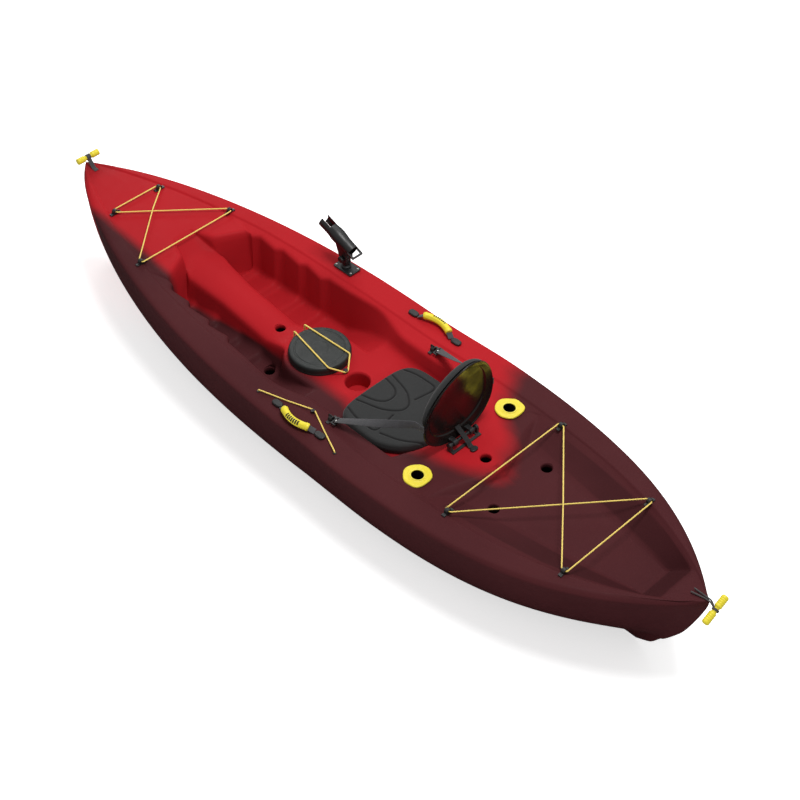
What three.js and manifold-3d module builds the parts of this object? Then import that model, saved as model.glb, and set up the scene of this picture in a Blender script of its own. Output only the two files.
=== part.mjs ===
// Sit-on-top fishing kayak, millimetres. +X is the bow, +Y port, +Z up.
// The origin is on the underside of the keel, amidships.
import * as THREE from 'three';
import { mergeVertices } from 'three/addons/utils/BufferGeometryUtils.js';
import Module from 'manifold-3d';

const wasm = await Module();
wasm.setup();

// Clearance between touching pieces and overrun of every cutting tool
const gap = 0.3;
const overrun = 5;
const shortest = 0.12;

// Hull: overall form
const bowTipX = 1530;
const sternTipX = -1526;
const widestX = -28.7;
const halfBeam = 389;
const deckHeight = 337;
const bowRise = 60;
const sternRise = 56;
const deckCrown = 5;
const bowSheerPower = 1.1;
const sternSheerPower = 3;
const bowPlanPowers = [2.193, 0.769];
const sternPlanPowers = [3.377, 0.963];
const gunwaleRound = 14;
const sternSwell = 13;
const sternSwellFull = 0.25;
const sternSwellPower = 8;
const swellShares = [1, 0.9, 0.75, 0.6, 0.5, 0.4, 0.25, 0, 0, 0, 0];
const stationSpacing = 110;

// Hull: side and bottom rails, from the gunwale down to the keel.
// Widths and heights are shares of the half beam and of the deck height amidships;
// ends are shares of the length ahead of or behind the widest station.
const sideWidthShares = [0.99, 0.968, 0.934, 0.88, 0.819, 0.754, 0.627, 0.36, 0.29, 0.16, 0.065];
const sideHeightShares = [0.93, 0.8, 0.62, 0.4, 0.245, 0.115, 0.012, 0, 0.05, 0.05, 0];
const bowEndShares = [1.003, 1.006, 1.01, 1.011, 1.009, 1, 0.985, 0.965, 0.935, 0.9, 0.87];
const bowEndHeightShares = [1.12, 1.03, 0.88, 0.7, 0.56, 0.43, 0.31, 0.21, 0.13, 0.065, 0.03];
const sternEndShares = [1, 0.995, 0.984, 0.967, 0.951, 0.933, 0.917, 0.908, 0.902, 0.882, 0.868];
const sternEndHeightShares = [1.12, 1.03, 0.88, 0.68, 0.52, 0.4, 0.3, 0.25, 0.235, 0.1, 0.06];
const keelEndShares = [0.84, 0.855];
const bowFineness = [2.2, 2.25, 2.32, 2.34, 2.28, 2.18, 2.1, 2.11, 2.12, 2.5, 4];
const sternFineness = [3.7, 3.72, 3.72, 3.7, 3.6, 3.49, 3.41, 3.43, 3.45, 5, 9];
const bowLift = [1.2, 1.6, 2.2, 2.8, 3.4, 4, 4.6, 5, 5.4, 7, 9];
const sternLift = [2.6, 2.8, 3, 3, 3, 3, 3, 3.2, 3.4, 9, 14];
const bowFuller = 0.377;
const sternFuller = 0.561;

// Deck: the raised gunwale strip ends in a small step at the crease
const creaseShares = [[-1, 0.86], [-0.86, 0.8], [-0.7, 0.775], [-0.5, 0.755], [-0.1, 0.723],
  [0.25, 0.729], [0.5, 0.762], [0.7, 0.745], [1, 0.7]];
const creaseStep = 5;
const creaseWidth = 7;

// Cockpit: console with hatch and cup holder, hump, footwells with foot braces, seat pan
const cockpitFrontX = 877;
const cockpitFrontBase = 35;
const chevronSpread = 87;
const chevronInner = 36;
const chevronOuter = 212;
const noseX = 950;
const humpNoseHeight = 320;
const humpFrontX = 842;
const humpFrontHeight = 311;
const humpRearHeight = 252;
const humpHalfWidth = 68;
const humpFlare = 18;
const humpNoseHalf = 62;
const noseHalf = 38;
const humpCrown = 14;
const humpEdge = 4;
const sideSlope = 0.24;
const consoleHeight = 262;
const consoleRadius = 130;
const footwellFloor = 152;
const footwellRise = 33;
const footwellRearX = 312;
const footwellRampX = 80;
const footBraceXs = [767, 655, 533, 422];
const footBraceStep = 22;
const footBraceRiser = 8;
const footwellWallInset = 16;
const wallDraw = 6;
const seatPanHeight = 254;
const seatPanHalfWidth = 200;
const seatPanFrontX = -60;
const seatPanRearX = -402;
const seatPanRearWall = 42;
const seatRearRound = 60;
const shelfHalfWidth = 216;
const shelfFrontX = 190;
const shelfFullX = -20;
const bridgeDrop = 6;
const bridgeHeight = deckHeight - bridgeDrop;

// Tank well in the stern deck
const tankFrontX = -676;
const tankFrontSpread = 76;
const tankFrontWall = 36;
const tankRearX = -1412;
const tankRearWall = 90;
const tankFloor = 306;
const tankFloorFrontHalf = 163;
const tankFloorRearHalf = 62;

// Scuppers: straight tubes through the hull
const scupperRadius = 19;
const humpScupperX = 411;
const footwellScupper = [352, 112];
const bridgeScupperX = -606;
const tankScupper = [-763, 128];

// Hatch, its bucket and cover
const hatchX = 200;
const hatchRadius = 98;
const hatchCoverRadius = 113;
const hatchCoverHeight = 33;
const hatchCoverWall = 4;
const hatchCoverRound = 9;
const bucketDepth = 150;
const bucketWall = 3;
const bucketFlange = 9;
const bucketTaper = 12;
const hatchCordRadius = 3;
const hatchCordFrontHalf = 25;
const hatchCordRear = [99, 52];
const hatchCordShift = -16;
const hatchHookX = 68;

// Cup holder
const cupX = 6;
const cupRadius = 44;
const cupDepth = 62;

// Deck cords and their pad eyes
const deckCordRadius = 2.5;
const eyeShares = [0.2725, 0.5476, 0.6992, 0.527];
const bowEyes = [[1215, halfBeam * eyeShares[0]], [927, halfBeam * eyeShares[1]]];
const sternEyes = [[-695, halfBeam * eyeShares[2]], [-1128, halfBeam * eyeShares[3]]];
const eyeLength = 44;
const eyeWidth = 14;
const eyeBase = 4;
const eyeHole = 5.5;
const eyeBar = 4.5;
const cordBend = 6;

// Carry toggles at bow and stern
const toggleRadius = 12.5;
const bowToggleLength = 100;
const sternToggleLength = 108;
const bowToggleRise = 37;
const bowToggle = [1512, deckHeight + bowRise + bowToggleRise];
const bowStrapExitX = 1462;
const bowStrapWidth = 18;
const strapThickness = 2.4;
const sternToggleDrop = 17;
const sternToggle = [-1551, deckHeight + sternRise - sternToggleDrop];
const sternToggleTilt = 0.45;
const sternRopeExitX = -1462;
const sternRopeRadius = 2.5;
const sternRopeSpread = 9;

// Side carry handles
const handleX = -50;
const handleHalfSpan = 105;
const handleInset = 63;
const handleY = halfBeam - handleInset;
const handleBracketLength = 44;
const handleBracketWidth = 26;
const handleBracketHeight = 9;
const handleStrapWidth = 22;
const gripRadius = 13.5;
const gripHalfLength = 62;
const gripBow = 24;
const gripLift = 12;
const gripLiftShare = 0.37;

// Paddle keeper cord on the port gunwale
const keeperInsets = [57, 131, 45];
const keeperFront = [146, halfBeam - keeperInsets[0]];
const keeperHook = [-53, halfBeam - keeperInsets[1]];
const keeperRear = [-246, halfBeam - keeperInsets[2]];
const keeperRadius = 2.5;
const keeperEyelet = 7;
const keeperEyeletHeight = 3;

// Flush rod holders behind the seat
const flushInset = 169;
const flushHolder = [-507, halfBeam - flushInset];
const flushOutline = [
  [47, 16], [17, 46], [-16, 48], [-37, 39], [-46, 12], [-40, -29], [-7, -49], [28, -40], [47, -14],
];
const flushFlangeThickness = 5;
const flushTubeOuter = 25;
const flushTubeBore = 21;
const flushTubeLength = 190;
const flushTubeTilt = 0.3;
const flushTubeStand = 1.5;

// Adjustable rod holder on the starboard gunwale
const holderInset = 67;
const holderAt = [397, holderInset - halfBeam];
const holderPlate = [92, 58];
const holderPlateCorner = 8;
const holderPlateThickness = 5;
const holderScrew = [37.5, 18];
const holderScrewRadius = 4.6;
const holderScrewHeight = 2.6;
const holderPostRadii = [19, 14, 18];
const holderPostHeight = 26;
const holderSpigotRadius = 8;
const holderBoltRadius = 4;
const hubOffset = 5;
const hubRadius = 17;
const hubRise = 68;
const hubHeight = deckHeight + hubRise;
const hubHalfWidth = 11;
const earThickness = 7;
const cradleTilt = 0.373;
const cradleRise = 61;
const cradleHeight = hubHeight + cradleRise;
const cradleBore = 20;
const cradleProfile = [[-40, 23], [0, 23.5], [34, 27.5], [52, 27], [70, 24.5], [122, 24.5]];
const cradleSlot = [46, 27];
const cradleLoop = [36, 50];
const cradleLoopBar = 7;
const knobRadius = 13;
const knobWidth = 13;

// Seat pad: front and rear halves of two superellipses about one centre line
const padCentreX = -232;
const padFrontHalf = 168;
const padRearHalf = 172;
const padHalfWidth = 186;
const padFrontPower = 4.6;
const padRearPower = 2;
const padThickness = 38;
const padCrown = 7;
const padRingShares = [[0.965, 0], [0.995, 0.21], [1, 0.47], [0.992, 0.74], [0.96, 0.9]];
const padTopShares = [0.9, 0.7, 0.45, 0.2];
const grooveRadius = 3.2;
const grooveSink = 0.6;
const grooves = [
  [[-76, 58], [-133, 46], [-160, 24], [-166, 0], [-160, -24], [-133, -46], [-76, -58]],
  [[-81, 86], [-178, 62], [-226, 26], [-236, 0], [-226, -26], [-178, -62], [-81, -86]],
  [[-88, 134], [-140, 149], [-238, 151], [-224, 54]],
  [[-253, 142], [-325, 119], [-386, 72]],
];

// Backrest: a shell dished toward the stern, on a hinge behind the seat
const backBottomRise = 14;
const backBottom = [-485, bridgeHeight + backBottomRise];
const backHeight = 345;
const backHalfWidth = 155;
const backTaperShare = 0.3;
const backPower = 2.1;
const backLean = -0.1;
const backWrap = 19.5;
const backDish = 26;
const backDishPower = 4;
const backWall = 4;
const backStep = 2.7;
const backStepShares = [0.79, 0.83];
const cushionThickness = 22;
const cushionRise = 0.564;
const cushionShares = [0.95, 0.82];
const cushionFaceShares = [[1, 0.27], [0.9, 0.86], [0.7, 1], [0.35, 1]];
const pinRise = 23;
const pinAt = [-500, bridgeHeight + pinRise];
const pinRadius = 6;
const pinHalfLength = 69;
const lug = [30, 48];
const lugRadius = 11;
const lugReach = 24;
const bracketEar = [58, 67];
const bracketFootX = [-523, -494];
const bracketFootInner = 52;
const bracketFootThickness = 5;
const rearAnchorX = -553;
const rearStrapWidth = 20;
const rearStrapRise = 40;
const seatEyeInset = 145;
const seatEye = [-124, halfBeam - seatEyeInset];
const seatStrapWidth = 27;
const seatStrapRise = 140;
const seatStrapEnd = [-480, backBottom[1] + seatStrapRise];
const clipRadius = 2.4;
const clipReach = 17;
const clipFrame = [20, 38];
const clipBar = 5;

// Finishes, as seen in the photograph
const finish = (color, roughness, metalness = 0) =>
  new THREE.MeshStandardMaterial({ color, roughness, metalness });
const redPlastic = () => finish(0xb21f26, 0.42);
const blackPlastic = () => finish(0x161616, 0.45);
const yellowPlastic = () => finish(0xf0e020, 0.4);
const webbing = () => finish(0x242424, 0.85);
const foam = () => finish(0x3a3a3a, 0.8);
const shockCord = () => finish(0xf2dd3c, 0.6);
const steel = () => finish(0xc9c9c6, 0.25, 1);

const part = new THREE.Group();
const place = (name, geometry, material) => {
  const mesh = new THREE.Mesh(geometry, material);
  mesh.name = name;
  part.add(mesh);
  return mesh;
};

// General helpers
const clamp01 = (t) => Math.min(1, Math.max(0, t));
const mix = (a, b, t) => a + (b - a) * t;
const span = (x, from, to) => clamp01((x - from) / (to - from));
const smooth = (t) => t * t * (3 - 2 * t);
const range = (n) => Array.from({ length: n }, (_, i) => i);
const vec = (x, y, z) => new THREE.Vector3(x, y, z);
const along = (stops, x) => {
  const next = stops.findIndex((stop) => stop[0] >= x);
  if (next === 0) return stops[0][1];
  if (next < 0) return stops.at(-1)[1];
  const [a, b] = [stops[next - 1], stops[next]];
  return mix(a[1], b[1], (x - a[0]) / (b[0] - a[0]));
};

// Solids: three.js geometry in and out of boolean operations
const bare = (geometry) => {
  const plain = geometry.clone();
  for (const key of Object.keys(plain.attributes)) {
    if (key !== 'position') plain.deleteAttribute(key);
  }
  return mergeVertices(plain, gap / 1000);
};
const solid = (geometry) => {
  const merged = bare(geometry);
  const index = merged.index.array;
  const kept = range(index.length / 3)
    .map((i) => [index[3 * i], index[3 * i + 1], index[3 * i + 2]])
    .filter(([a, b, c]) => a !== b && b !== c && c !== a);
  return new wasm.Manifold(new wasm.Mesh({
    numProp: 3,
    vertProperties: new Float32Array(merged.attributes.position.array),
    triVerts: new Uint32Array(kept.flat()),
  }));
};
// A sliver of a face swaps its long edge for the other diagonal of itself and its neighbour
const unslivered = (faces, at) => {
  for (let pass = 0; pass < 8; pass += 1) {
    const owner = new Map();
    faces.forEach((face, i) => face.forEach((a, k) => owner.set(`${a},${face[(k + 1) % 3]}`, i)));
    const touched = new Set();
    faces.forEach((face, i) => {
      const sizes = face.map((a, k) => at(a).distanceTo(at(face[(k + 1) % 3])));
      const k = sizes.indexOf(Math.max(...sizes));
      const [a, b, c] = [face[k], face[(k + 1) % 3], face[(k + 2) % 3]];
      const area = at(b).sub(at(a)).cross(at(c).sub(at(a))).length();
      if (area / sizes[k] > shortest || touched.has(i)) return;
      const j = owner.get(`${b},${a}`);
      const d = faces[j].find((v) => v !== a && v !== b);
      if (touched.has(j) || owner.has(`${c},${d}`) || owner.has(`${d},${c}`)) return;
      faces[i] = [a, d, c];
      faces[j] = [d, b, c];
      [i, j].forEach((one) => touched.add(one));
      owner.set(`${c},${d}`, j);
    });
    if (touched.size === 0) break;
  }
  return faces;
};

// Cutting leaves edges far shorter than any feature: their two ends become one point
const shown = (manifold) => {
  const mesh = manifold.getMesh();
  const place3 = (i) => vec(...mesh.vertProperties.subarray(3 * i, 3 * i + 3));
  const stand = range(mesh.vertProperties.length / 3);
  const root = (i) => {
    while (stand[i] !== i) i = stand[i];
    return i;
  };
  const faces = range(mesh.triVerts.length / 3).map((i) => [...mesh.triVerts.subarray(3 * i, 3 * i + 3)]);
  faces.forEach((face) => face.forEach((a, k) => {
    const b = face[(k + 1) % 3];
    if (place3(a).distanceTo(place3(b)) >= shortest) return;
    stand[Math.max(root(a), root(b))] = Math.min(root(a), root(b));
  }));
  const kept = faces.map((face) => face.map(root)).filter(([a, b, c]) => a !== b && b !== c && c !== a);
  const geometry = new THREE.BufferGeometry();
  geometry.setAttribute('position', new THREE.BufferAttribute(mesh.vertProperties, 3));
  geometry.setIndex(unslivered(kept, place3).flat());
  const tidy = bare(geometry);
  tidy.computeVertexNormals();
  return tidy;
};
const join = (first, ...rest) => rest.reduce((all, one) => all.add(one), first);
const cut = (first, ...rest) => rest.reduce((all, one) => all.subtract(one), first);

// Upright cylinder from one height to another
const upright = (radius, x, y, low, high, sides = 16) =>
  new THREE.CylinderGeometry(radius, radius, high - low, sides)
    .rotateX(Math.PI / 2)
    .translate(x, y, (low + high) / 2);
const block = (x0, x1, y0, y1, z0, z1) =>
  new THREE.BoxGeometry(x1 - x0, y1 - y0, z1 - z0)
    .translate((x0 + x1) / 2, (y0 + y1) / 2, (z0 + z1) / 2);

// Surface from rings of equal length, closed around and capped where an end ring isn't a line
const ringSolid = (rings, capped) => {
  const count = rings[0].length;
  const points = rings.flat();
  const faces = [];
  range(rings.length - 1).forEach((i) => range(count).forEach((j) => {
    const [a, b] = [i * count + j, i * count + (j + 1) % count];
    const [c, d] = [a + count, b + count];
    faces.push(a, d, b, a, c, d);
  }));
  if (capped) {
    [[0, 1], [rings.length - 1, -1]].forEach(([i, turn]) => {
      const middle = rings[i].reduce((sum, p) => sum.add(p), vec(0, 0, 0)).divideScalar(count);
      points.push(middle);
      range(count).forEach((j) => {
        const [a, b] = [i * count + j, i * count + (j + 1) % count];
        faces.push(...(turn > 0 ? [points.length - 1, a, b] : [points.length - 1, b, a]));
      });
    });
  }
  const geometry = new THREE.BufferGeometry().setFromPoints(points);
  geometry.setIndex(faces);
  return geometry;
};

// Hull surfaces
const reach = (x) => (x > widestX ? bowTipX - widestX : widestX - sternTipX);
const outward = (x) => Math.abs(x - widestX) / reach(x);
const planShare = (x) => {
  const [p, q] = x > widestX ? bowPlanPowers : sternPlanPowers;
  return Math.max(0, 1 - clamp01(outward(x)) ** p) ** q;
};
const swell = (x) => {
  if (x > widestX) return 0;
  const t = clamp01(outward(x));
  return sternSwell * smooth(clamp01(t / sternSwellFull)) * (1 - t ** sternSwellPower);
};
const sheerHalf = (x) => halfBeam * planShare(x) + swell(x);
const sheerHeight = (x) => (x > 0
  ? deckHeight + bowRise * clamp01(x / bowTipX) ** bowSheerPower
  : deckHeight + sternRise * clamp01(x / sternTipX) ** sternSheerPower);
const halfLength = (bowTipX - sternTipX) / 2;
const crease = (x) => sheerHalf(x) * along(creaseShares, x / halfLength);
const deckTop = (x, y) =>
  sheerHeight(x) + deckCrown * (1 - clamp01(Math.abs(y) / Math.max(sheerHalf(x), gap)) ** 2);

// Foot braces: a saw tooth that rises at each aft-facing riser and runs out towards the bow
const brace = (x) => {
  const starts = [...footBraceXs].sort((a, b) => a - b);
  const ends = [...starts.slice(1), cockpitFrontX];
  return starts.reduce((sum, start, i) => {
    if (x > ends[i] - footBraceRiser / 2) return sum;
    const rise = span(x, start - footBraceRiser / 2, start + footBraceRiser / 2);
    return sum + rise * (1 - span(x, start, ends[i]));
  }, 0);
};

// Levels along the hull: the floor beside the hump, and the middle
const innerDeck = (x, y) => deckTop(x, y) - creaseStep;
const aftLevels = (x, y) => [
  [tankRearX, innerDeck(x, y)],
  [tankRearX + tankRearWall, tankFloor],
  [tankFrontX - tankFrontWall, tankFloor],
  [tankFrontX, bridgeHeight],
  [seatPanRearX - seatPanRearWall, bridgeHeight],
  [seatPanRearX, seatPanHeight],
  [seatPanFrontX, seatPanHeight],
  [seatPanFrontX + seatPanRearWall, consoleHeight],
];
const floorLevel = (x, y) => along([
  ...aftLevels(x, y),
  [footwellRampX, consoleHeight],
  [footwellRearX, footwellFloor],
  [cockpitFrontX - cockpitFrontBase, footwellFloor + footwellRise],
  [cockpitFrontX, innerDeck(x, y)],
], x) + footBraceStep * brace(x);
const middleLevel = (x) => along([
  ...aftLevels(x, 0),
  [hatchX + consoleRadius, consoleHeight],
  [humpScupperX, humpRearHeight],
  [humpFrontX, humpFrontHeight],
  [cockpitFrontX, humpNoseHeight],
  [noseX, innerDeck(x, 0)],
], x);

// Half widths of the raised middle, the wells' floors and their upper edges
const consoleEdge = (x) => (x < hatchX ? consoleRadius
  : Math.sqrt(Math.max(0, consoleRadius ** 2 - (x - hatchX) ** 2)));
const middleHalf = (x) => Math.max(consoleEdge(x), along([
  [footBraceXs[1], humpHalfWidth],
  [humpFrontX, humpHalfWidth + humpFlare],
  [cockpitFrontX, humpNoseHalf],
  [noseX, noseHalf],
], x));
const wallTop = (x) => {
  const edge = crease(x) - creaseWidth * 2;
  const shelf = span(x, shelfFrontX, shelfFullX) * (1 - span(x, seatPanRearX, tankFrontX));
  const footwell = span(x, footwellRampX, footwellRearX) * (1 - span(x, cockpitFrontX, noseX));
  return mix(edge, shelfHalfWidth, smooth(shelf)) - footwell * footwellWallInset - footBraceStep * brace(x);
};
const wallBase = (x) => Math.min(wallTop(x) - wallDraw, along([
  [tankRearX, wallTop(x) - wallDraw],
  [tankRearX + tankRearWall, tankFloorRearHalf],
  [tankFrontX - tankFrontWall, tankFloorFrontHalf],
  [tankFrontX, wallTop(x) - wallDraw],
  [seatPanRearX - seatPanRearWall, wallTop(x) - wallDraw],
  [seatPanRearX, seatPanHalfWidth],
  [seatPanFrontX, seatPanHalfWidth],
  [footwellRearX, wallTop(x) - wallDraw],
], x));

// Plan warps that bend straight stations into the chevron, the curved pan and the well's front
const warps = [
  (x, side) => -chevronSpread * clamp01((side - chevronInner) / (chevronOuter - chevronInner)) * along([
    [footBraceXs[0] + footBraceRiser, 0],
    [cockpitFrontX - cockpitFrontBase, 0.8],
    [cockpitFrontX, 1],
    [bowEyes[0][0], 0],
  ], x),
  (x, side) => seatRearRound * clamp01(side / seatPanHalfWidth) ** 2 * along([
    [(tankFrontX + seatPanRearX) / 2, 0],
    [seatPanRearX - seatPanRearWall, 1],
    [seatPanRearX, 1],
    [padCentreX, 0],
  ], x),
  (x, side) => tankFrontSpread * clamp01(side / shelfHalfWidth) * along([
    [(tankFrontX + tankRearX) / 2, 0],
    [tankFrontX - tankFrontWall, 1],
    [tankFrontX, 1],
    [(tankFrontX + seatPanRearX) / 2, 0],
  ], x),
];
const warped = (x, y) => {
  const inside = 1 - span(Math.abs(y), wallTop(x) + gap, crease(x) - creaseWidth);
  return x + inside * warps.reduce((sum, bend) => sum + bend(x, Math.abs(y)), 0);
};

// One half section of the deck, from the centreline out to the gunwale
const deckRows = (x) => {
  const [wall, lip, edge, sheer] = [wallBase(x), wallTop(x), crease(x), sheerHalf(x)];
  const [middle, floor] = [middleLevel(x), floorLevel(x, wall)];
  const open = x > tankRearX && x < cockpitFrontX;
  const crowned = span(x, hatchX + consoleRadius, humpScupperX);
  const crown = humpCrown * crowned * (1 - span(x, humpFrontX, cockpitFrontX));
  const raised = open || x < noseX ? middle - crown - floor : 0;
  const top = Math.min(middleHalf(x), wall * 0.6);
  const foot = Math.min(top + Math.max(humpEdge * 2, raised * sideSlope), wall * 0.8);
  const shoulder = Math.min(Math.max(raised, 0), humpEdge * 3);
  const flat = raised > 0 ? middle - crown - shoulder : Math.min(middle, floor);
  const round = Math.min(gunwaleRound, sheer / 3);
  const inner = (y) => deckTop(x, y) - creaseStep;
  const slim = clamp01(2 - sheer / creaseWidth / 4);
  return [
    [0, middle],
    [top * 0.6, middle - crown * 0.4],
    [top - humpEdge, middle - crown],
    [top + humpEdge, x < noseX ? flat : inner(top)],
    [foot, open ? floor : inner(foot)],
    [(foot + wall) / 2, open ? floor : inner((foot + wall) / 2)],
    [wall, open ? floor : inner(wall)],
    [lip, open ? inner(lip) - creaseStep : inner(lip)],
    [edge - creaseWidth, inner(edge)],
    [edge, deckTop(x, edge)],
    [(edge + sheer) / 2, deckTop(x, (edge + sheer) / 2)],
    [sheer - round, deckTop(x, sheer)],
    [sheer - round * 0.2, sheerHeight(x) - round * 0.4],
  ].map(([y, z], i, rows) => {
    const even = rows.at(-1)[0] * i / (rows.length - 1);
    return [mix(y, even, slim), i < rows.length - 1 ? mix(z, deckTop(x, even), slim) : z];
  });
};

// One half section of the side and bottom: each rail runs to its own end on the stem
const sideRows = (x) => {
  const ahead = x > widestX;
  const t = outward(x);
  const ends = ahead ? bowEndShares : sternEndShares;
  const endHeights = ahead ? bowEndHeightShares : sternEndHeightShares;
  const [fine, lift] = ahead ? [bowFineness, bowLift] : [sternFineness, sternLift];
  const blunt = (ahead ? bowPlanPowers : sternPlanPowers)[1];
  const fuller = (ahead ? bowFuller : sternFuller) / sideWidthShares.length;
  const rows = sideWidthShares.map((share, i) => vec(
    widestX + (x - widestX) * ends[i],
    halfBeam * share * (1 - t ** fine[i]) ** (blunt + fuller * i) + swell(x) * swellShares[i],
    deckHeight * mix(sideHeightShares[i], endHeights[i], t ** lift[i]),
  ));
  const keelEnd = widestX + (x - widestX) * keelEndShares[ahead ? 1 : 0];
  return [...rows, vec(keelEnd, 0, 0)];
};

const keyStations = [
  sternTipX, sternTipX + gunwaleRound, sternTipX + gunwaleRound * 3,
  tankRearX, tankRearX + tankRearWall, tankFrontX - tankFrontWall, tankFrontX,
  seatPanRearX - seatPanRearWall, seatPanRearX, seatPanFrontX, seatPanFrontX + seatPanRearWall,
  footwellRampX, hatchX, hatchX + consoleRadius * 0.5, hatchX + consoleRadius * 0.75,
  hatchX + consoleRadius * 0.87, hatchX + consoleRadius, humpScupperX - footBraceRiser * 3,
  ...footBraceXs.flatMap((x) => [x - footBraceRiser / 2, x + footBraceRiser / 2]),
  cockpitFrontX - cockpitFrontBase, cockpitFrontX, noseX,
  bowTipX - gunwaleRound * 8, bowTipX - gunwaleRound * 4, bowTipX - gunwaleRound * 2, bowTipX - gunwaleRound,
  bowTipX - gunwaleRound * 0.3, bowTipX,
].sort((a, b) => a - b);
const fill = (keys, spacing) => keys.slice(1).reduce((all, x) => {
  const from = all.at(-1);
  const steps = Math.max(1, Math.ceil((x - from) / spacing));
  return [...all, ...range(steps).map((i) => mix(from, x, (i + 1) / steps))];
}, [keys[0]]);
const stations = fill(keyStations, stationSpacing);
// Whole sections
const deckRowCount = 13;
const section = (x) => {
  const deck = deckRows(x).map(([y, z]) => vec(warped(x, y), y, z));
  const half = [...deck, ...sideRows(x)];
  const other = half.slice(1, -1).reverse().map((p) => vec(p.x, -p.y, p.z));
  return [...half, ...other];
};
const tip = (x) => {
  const ring = section(x);
  return ring.map((p, i) => {
    const onDeck = i < deckRowCount || i > ring.length - deckRowCount;
    return onDeck ? vec(x, 0, sheerHeight(x)) : vec(p.x, 0, p.z);
  });
};
const outer = solid(ringSolid(
  stations.map((x, i) => (i === 0 || i === stations.length - 1 ? tip(x) : section(x))),
  false,
));
const scuppers = [
  [humpScupperX, 0],
  [bridgeScupperX, 0],
  ...[1, -1].map((side) => [footwellScupper[0], side * footwellScupper[1]]),
  ...[1, -1].map((side) => [tankScupper[0], side * tankScupper[1]]),
];
const high = deckHeight + bowRise;
const bores = scuppers.map(([x, y]) => solid(upright(scupperRadius, x, y, -overrun, high + overrun)));
const cupBore = solid(upright(cupRadius, cupX, 0, consoleHeight - cupDepth, high, 24));
const bucketHole = solid(upright(hatchRadius, hatchX, 0, consoleHeight - bucketDepth - gap, high, 32));
const flushHoles = [1, -1].map((side) => solid(
  new THREE.CylinderGeometry(flushTubeOuter + gap, flushTubeOuter + gap, (flushTubeLength + gap) * 2, 20)
    .rotateX(Math.PI / 2)
    .rotateY(-flushTubeTilt)
    .translate(flushHolder[0], side * flushHolder[1], deckHeight),
));
place('hull', shown(cut(outer, ...bores, cupBore, bucketHole, ...flushHoles)), redPlastic());

// Height at which a flat base of this footprint rests on the moulding
const moulding = new THREE.Mesh(shown(outer));
const down = new THREE.Raycaster();
const seat = (x, y, halfX, halfY) => {
  const steps = [-1, -0.67, -0.33, 0, 0.33, 0.67, 1];
  const heights = steps.flatMap((i) => steps.map((j) => {
    down.set(vec(x + i * halfX, y + j * halfY, high + overrun), vec(0, 0, -1));
    return down.intersectObject(moulding)[0].point.z;
  }));
  return Math.max(...heights) + gap;
};

// Cords, straps and bars follow a route: corners are rounded, straight runs stay single steps
class Route extends THREE.Curve {
  constructor(points, side, lastSide) {
    super();
    this.points = points;
    this.side = side;
    this.lastSide = lastSide;
  }
  getPoint(t) {
    const at = t * (this.points.length - 1);
    const i = Math.min(Math.floor(at), this.points.length - 2);
    return this.points[i].clone().lerp(this.points[i + 1], at - i);
  }
  getSpacedPoints() {
    return this.points;
  }
  computeFrenetFrames() {
    const last = this.points.length - 1;
    const tangents = this.points.map((p, i) => {
      const into = p.clone().sub(this.points[Math.max(i - 1, 0)]).normalize();
      const out = this.points[Math.min(i + 1, last)].clone().sub(p).normalize();
      return into.add(out).normalize();
    });
    let across = this.side.clone();
    const normals = tangents.map((t, i) => {
      if (this.lastSide) across = this.side.clone().lerp(this.lastSide, i / last);
      across = across.clone().addScaledVector(t, -across.dot(t)).normalize();
      return across;
    });
    const binormals = tangents.map((t, i) => t.clone().cross(normals[i]));
    return { tangents, normals, binormals };
  }
}
const rounded = (points, bend, steps = 3) => points.flatMap((p, i) => {
  if (i === 0 || i === points.length - 1) return [p];
  const back = points[i - 1].clone().sub(p);
  const on = points[i + 1].clone().sub(p);
  const cutBack = Math.min(bend, back.length() * 0.45, on.length() * 0.45);
  const a = p.clone().addScaledVector(back.normalize(), cutBack);
  const b = p.clone().addScaledVector(on.normalize(), cutBack);
  return range(steps + 1).map((k) => {
    const t = k / steps;
    return a.clone().lerp(p, t).lerp(p.clone().lerp(b, t), t);
  });
});
const sweep = (shape, points, side, segments = 2, lastSide = null) =>
  new THREE.ExtrudeGeometry(shape, {
    steps: points.length - 1,
    curveSegments: segments,
    extrudePath: new Route(points, side, lastSide),
  });
const disc = (radius) => {
  const shape = new THREE.Shape();
  shape.absarc(0, 0, radius, 0, Math.PI * 2);
  return shape;
};
const bar = (width, height) => {
  const shape = new THREE.Shape();
  shape.moveTo(-width / 2, -height / 2);
  shape.lineTo(width / 2, -height / 2);
  shape.lineTo(width / 2, height / 2);
  shape.lineTo(-width / 2, height / 2);
  return shape;
};
const cord = (radius, points, bend = cordBend) => {
  const run = points[1].clone().sub(points[0]).normalize();
  const side = Math.abs(run.z) > 0.7 ? vec(1, 0, 0) : vec(0, 0, 1);
  return sweep(disc(radius), rounded(points, bend), side, 3);
};
const flat = (shape, height, z, bevel = 0) =>
  new THREE.ExtrudeGeometry(shape, {
    depth: height - bevel * 2,
    bevelEnabled: bevel > 0,
    bevelThickness: bevel,
    bevelSize: bevel,
    bevelOffset: -bevel,
    bevelSegments: 1,
    curveSegments: 4,
  }).translate(0, 0, z + bevel);
const stadium = (length, width) => {
  const shape = new THREE.Shape();
  const straight = (length - width) / 2;
  shape.absarc(straight, 0, width / 2, -Math.PI / 2, Math.PI / 2);
  shape.absarc(-straight, 0, width / 2, Math.PI / 2, Math.PI * 3 / 2);
  return shape;
};
const turned = (profile, segments = 20) =>
  new THREE.LatheGeometry(profile.map(([r, h]) => new THREE.Vector2(r, h)), segments).rotateX(Math.PI / 2);
const sides = [['port', 1], ['starboard', -1]];

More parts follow.
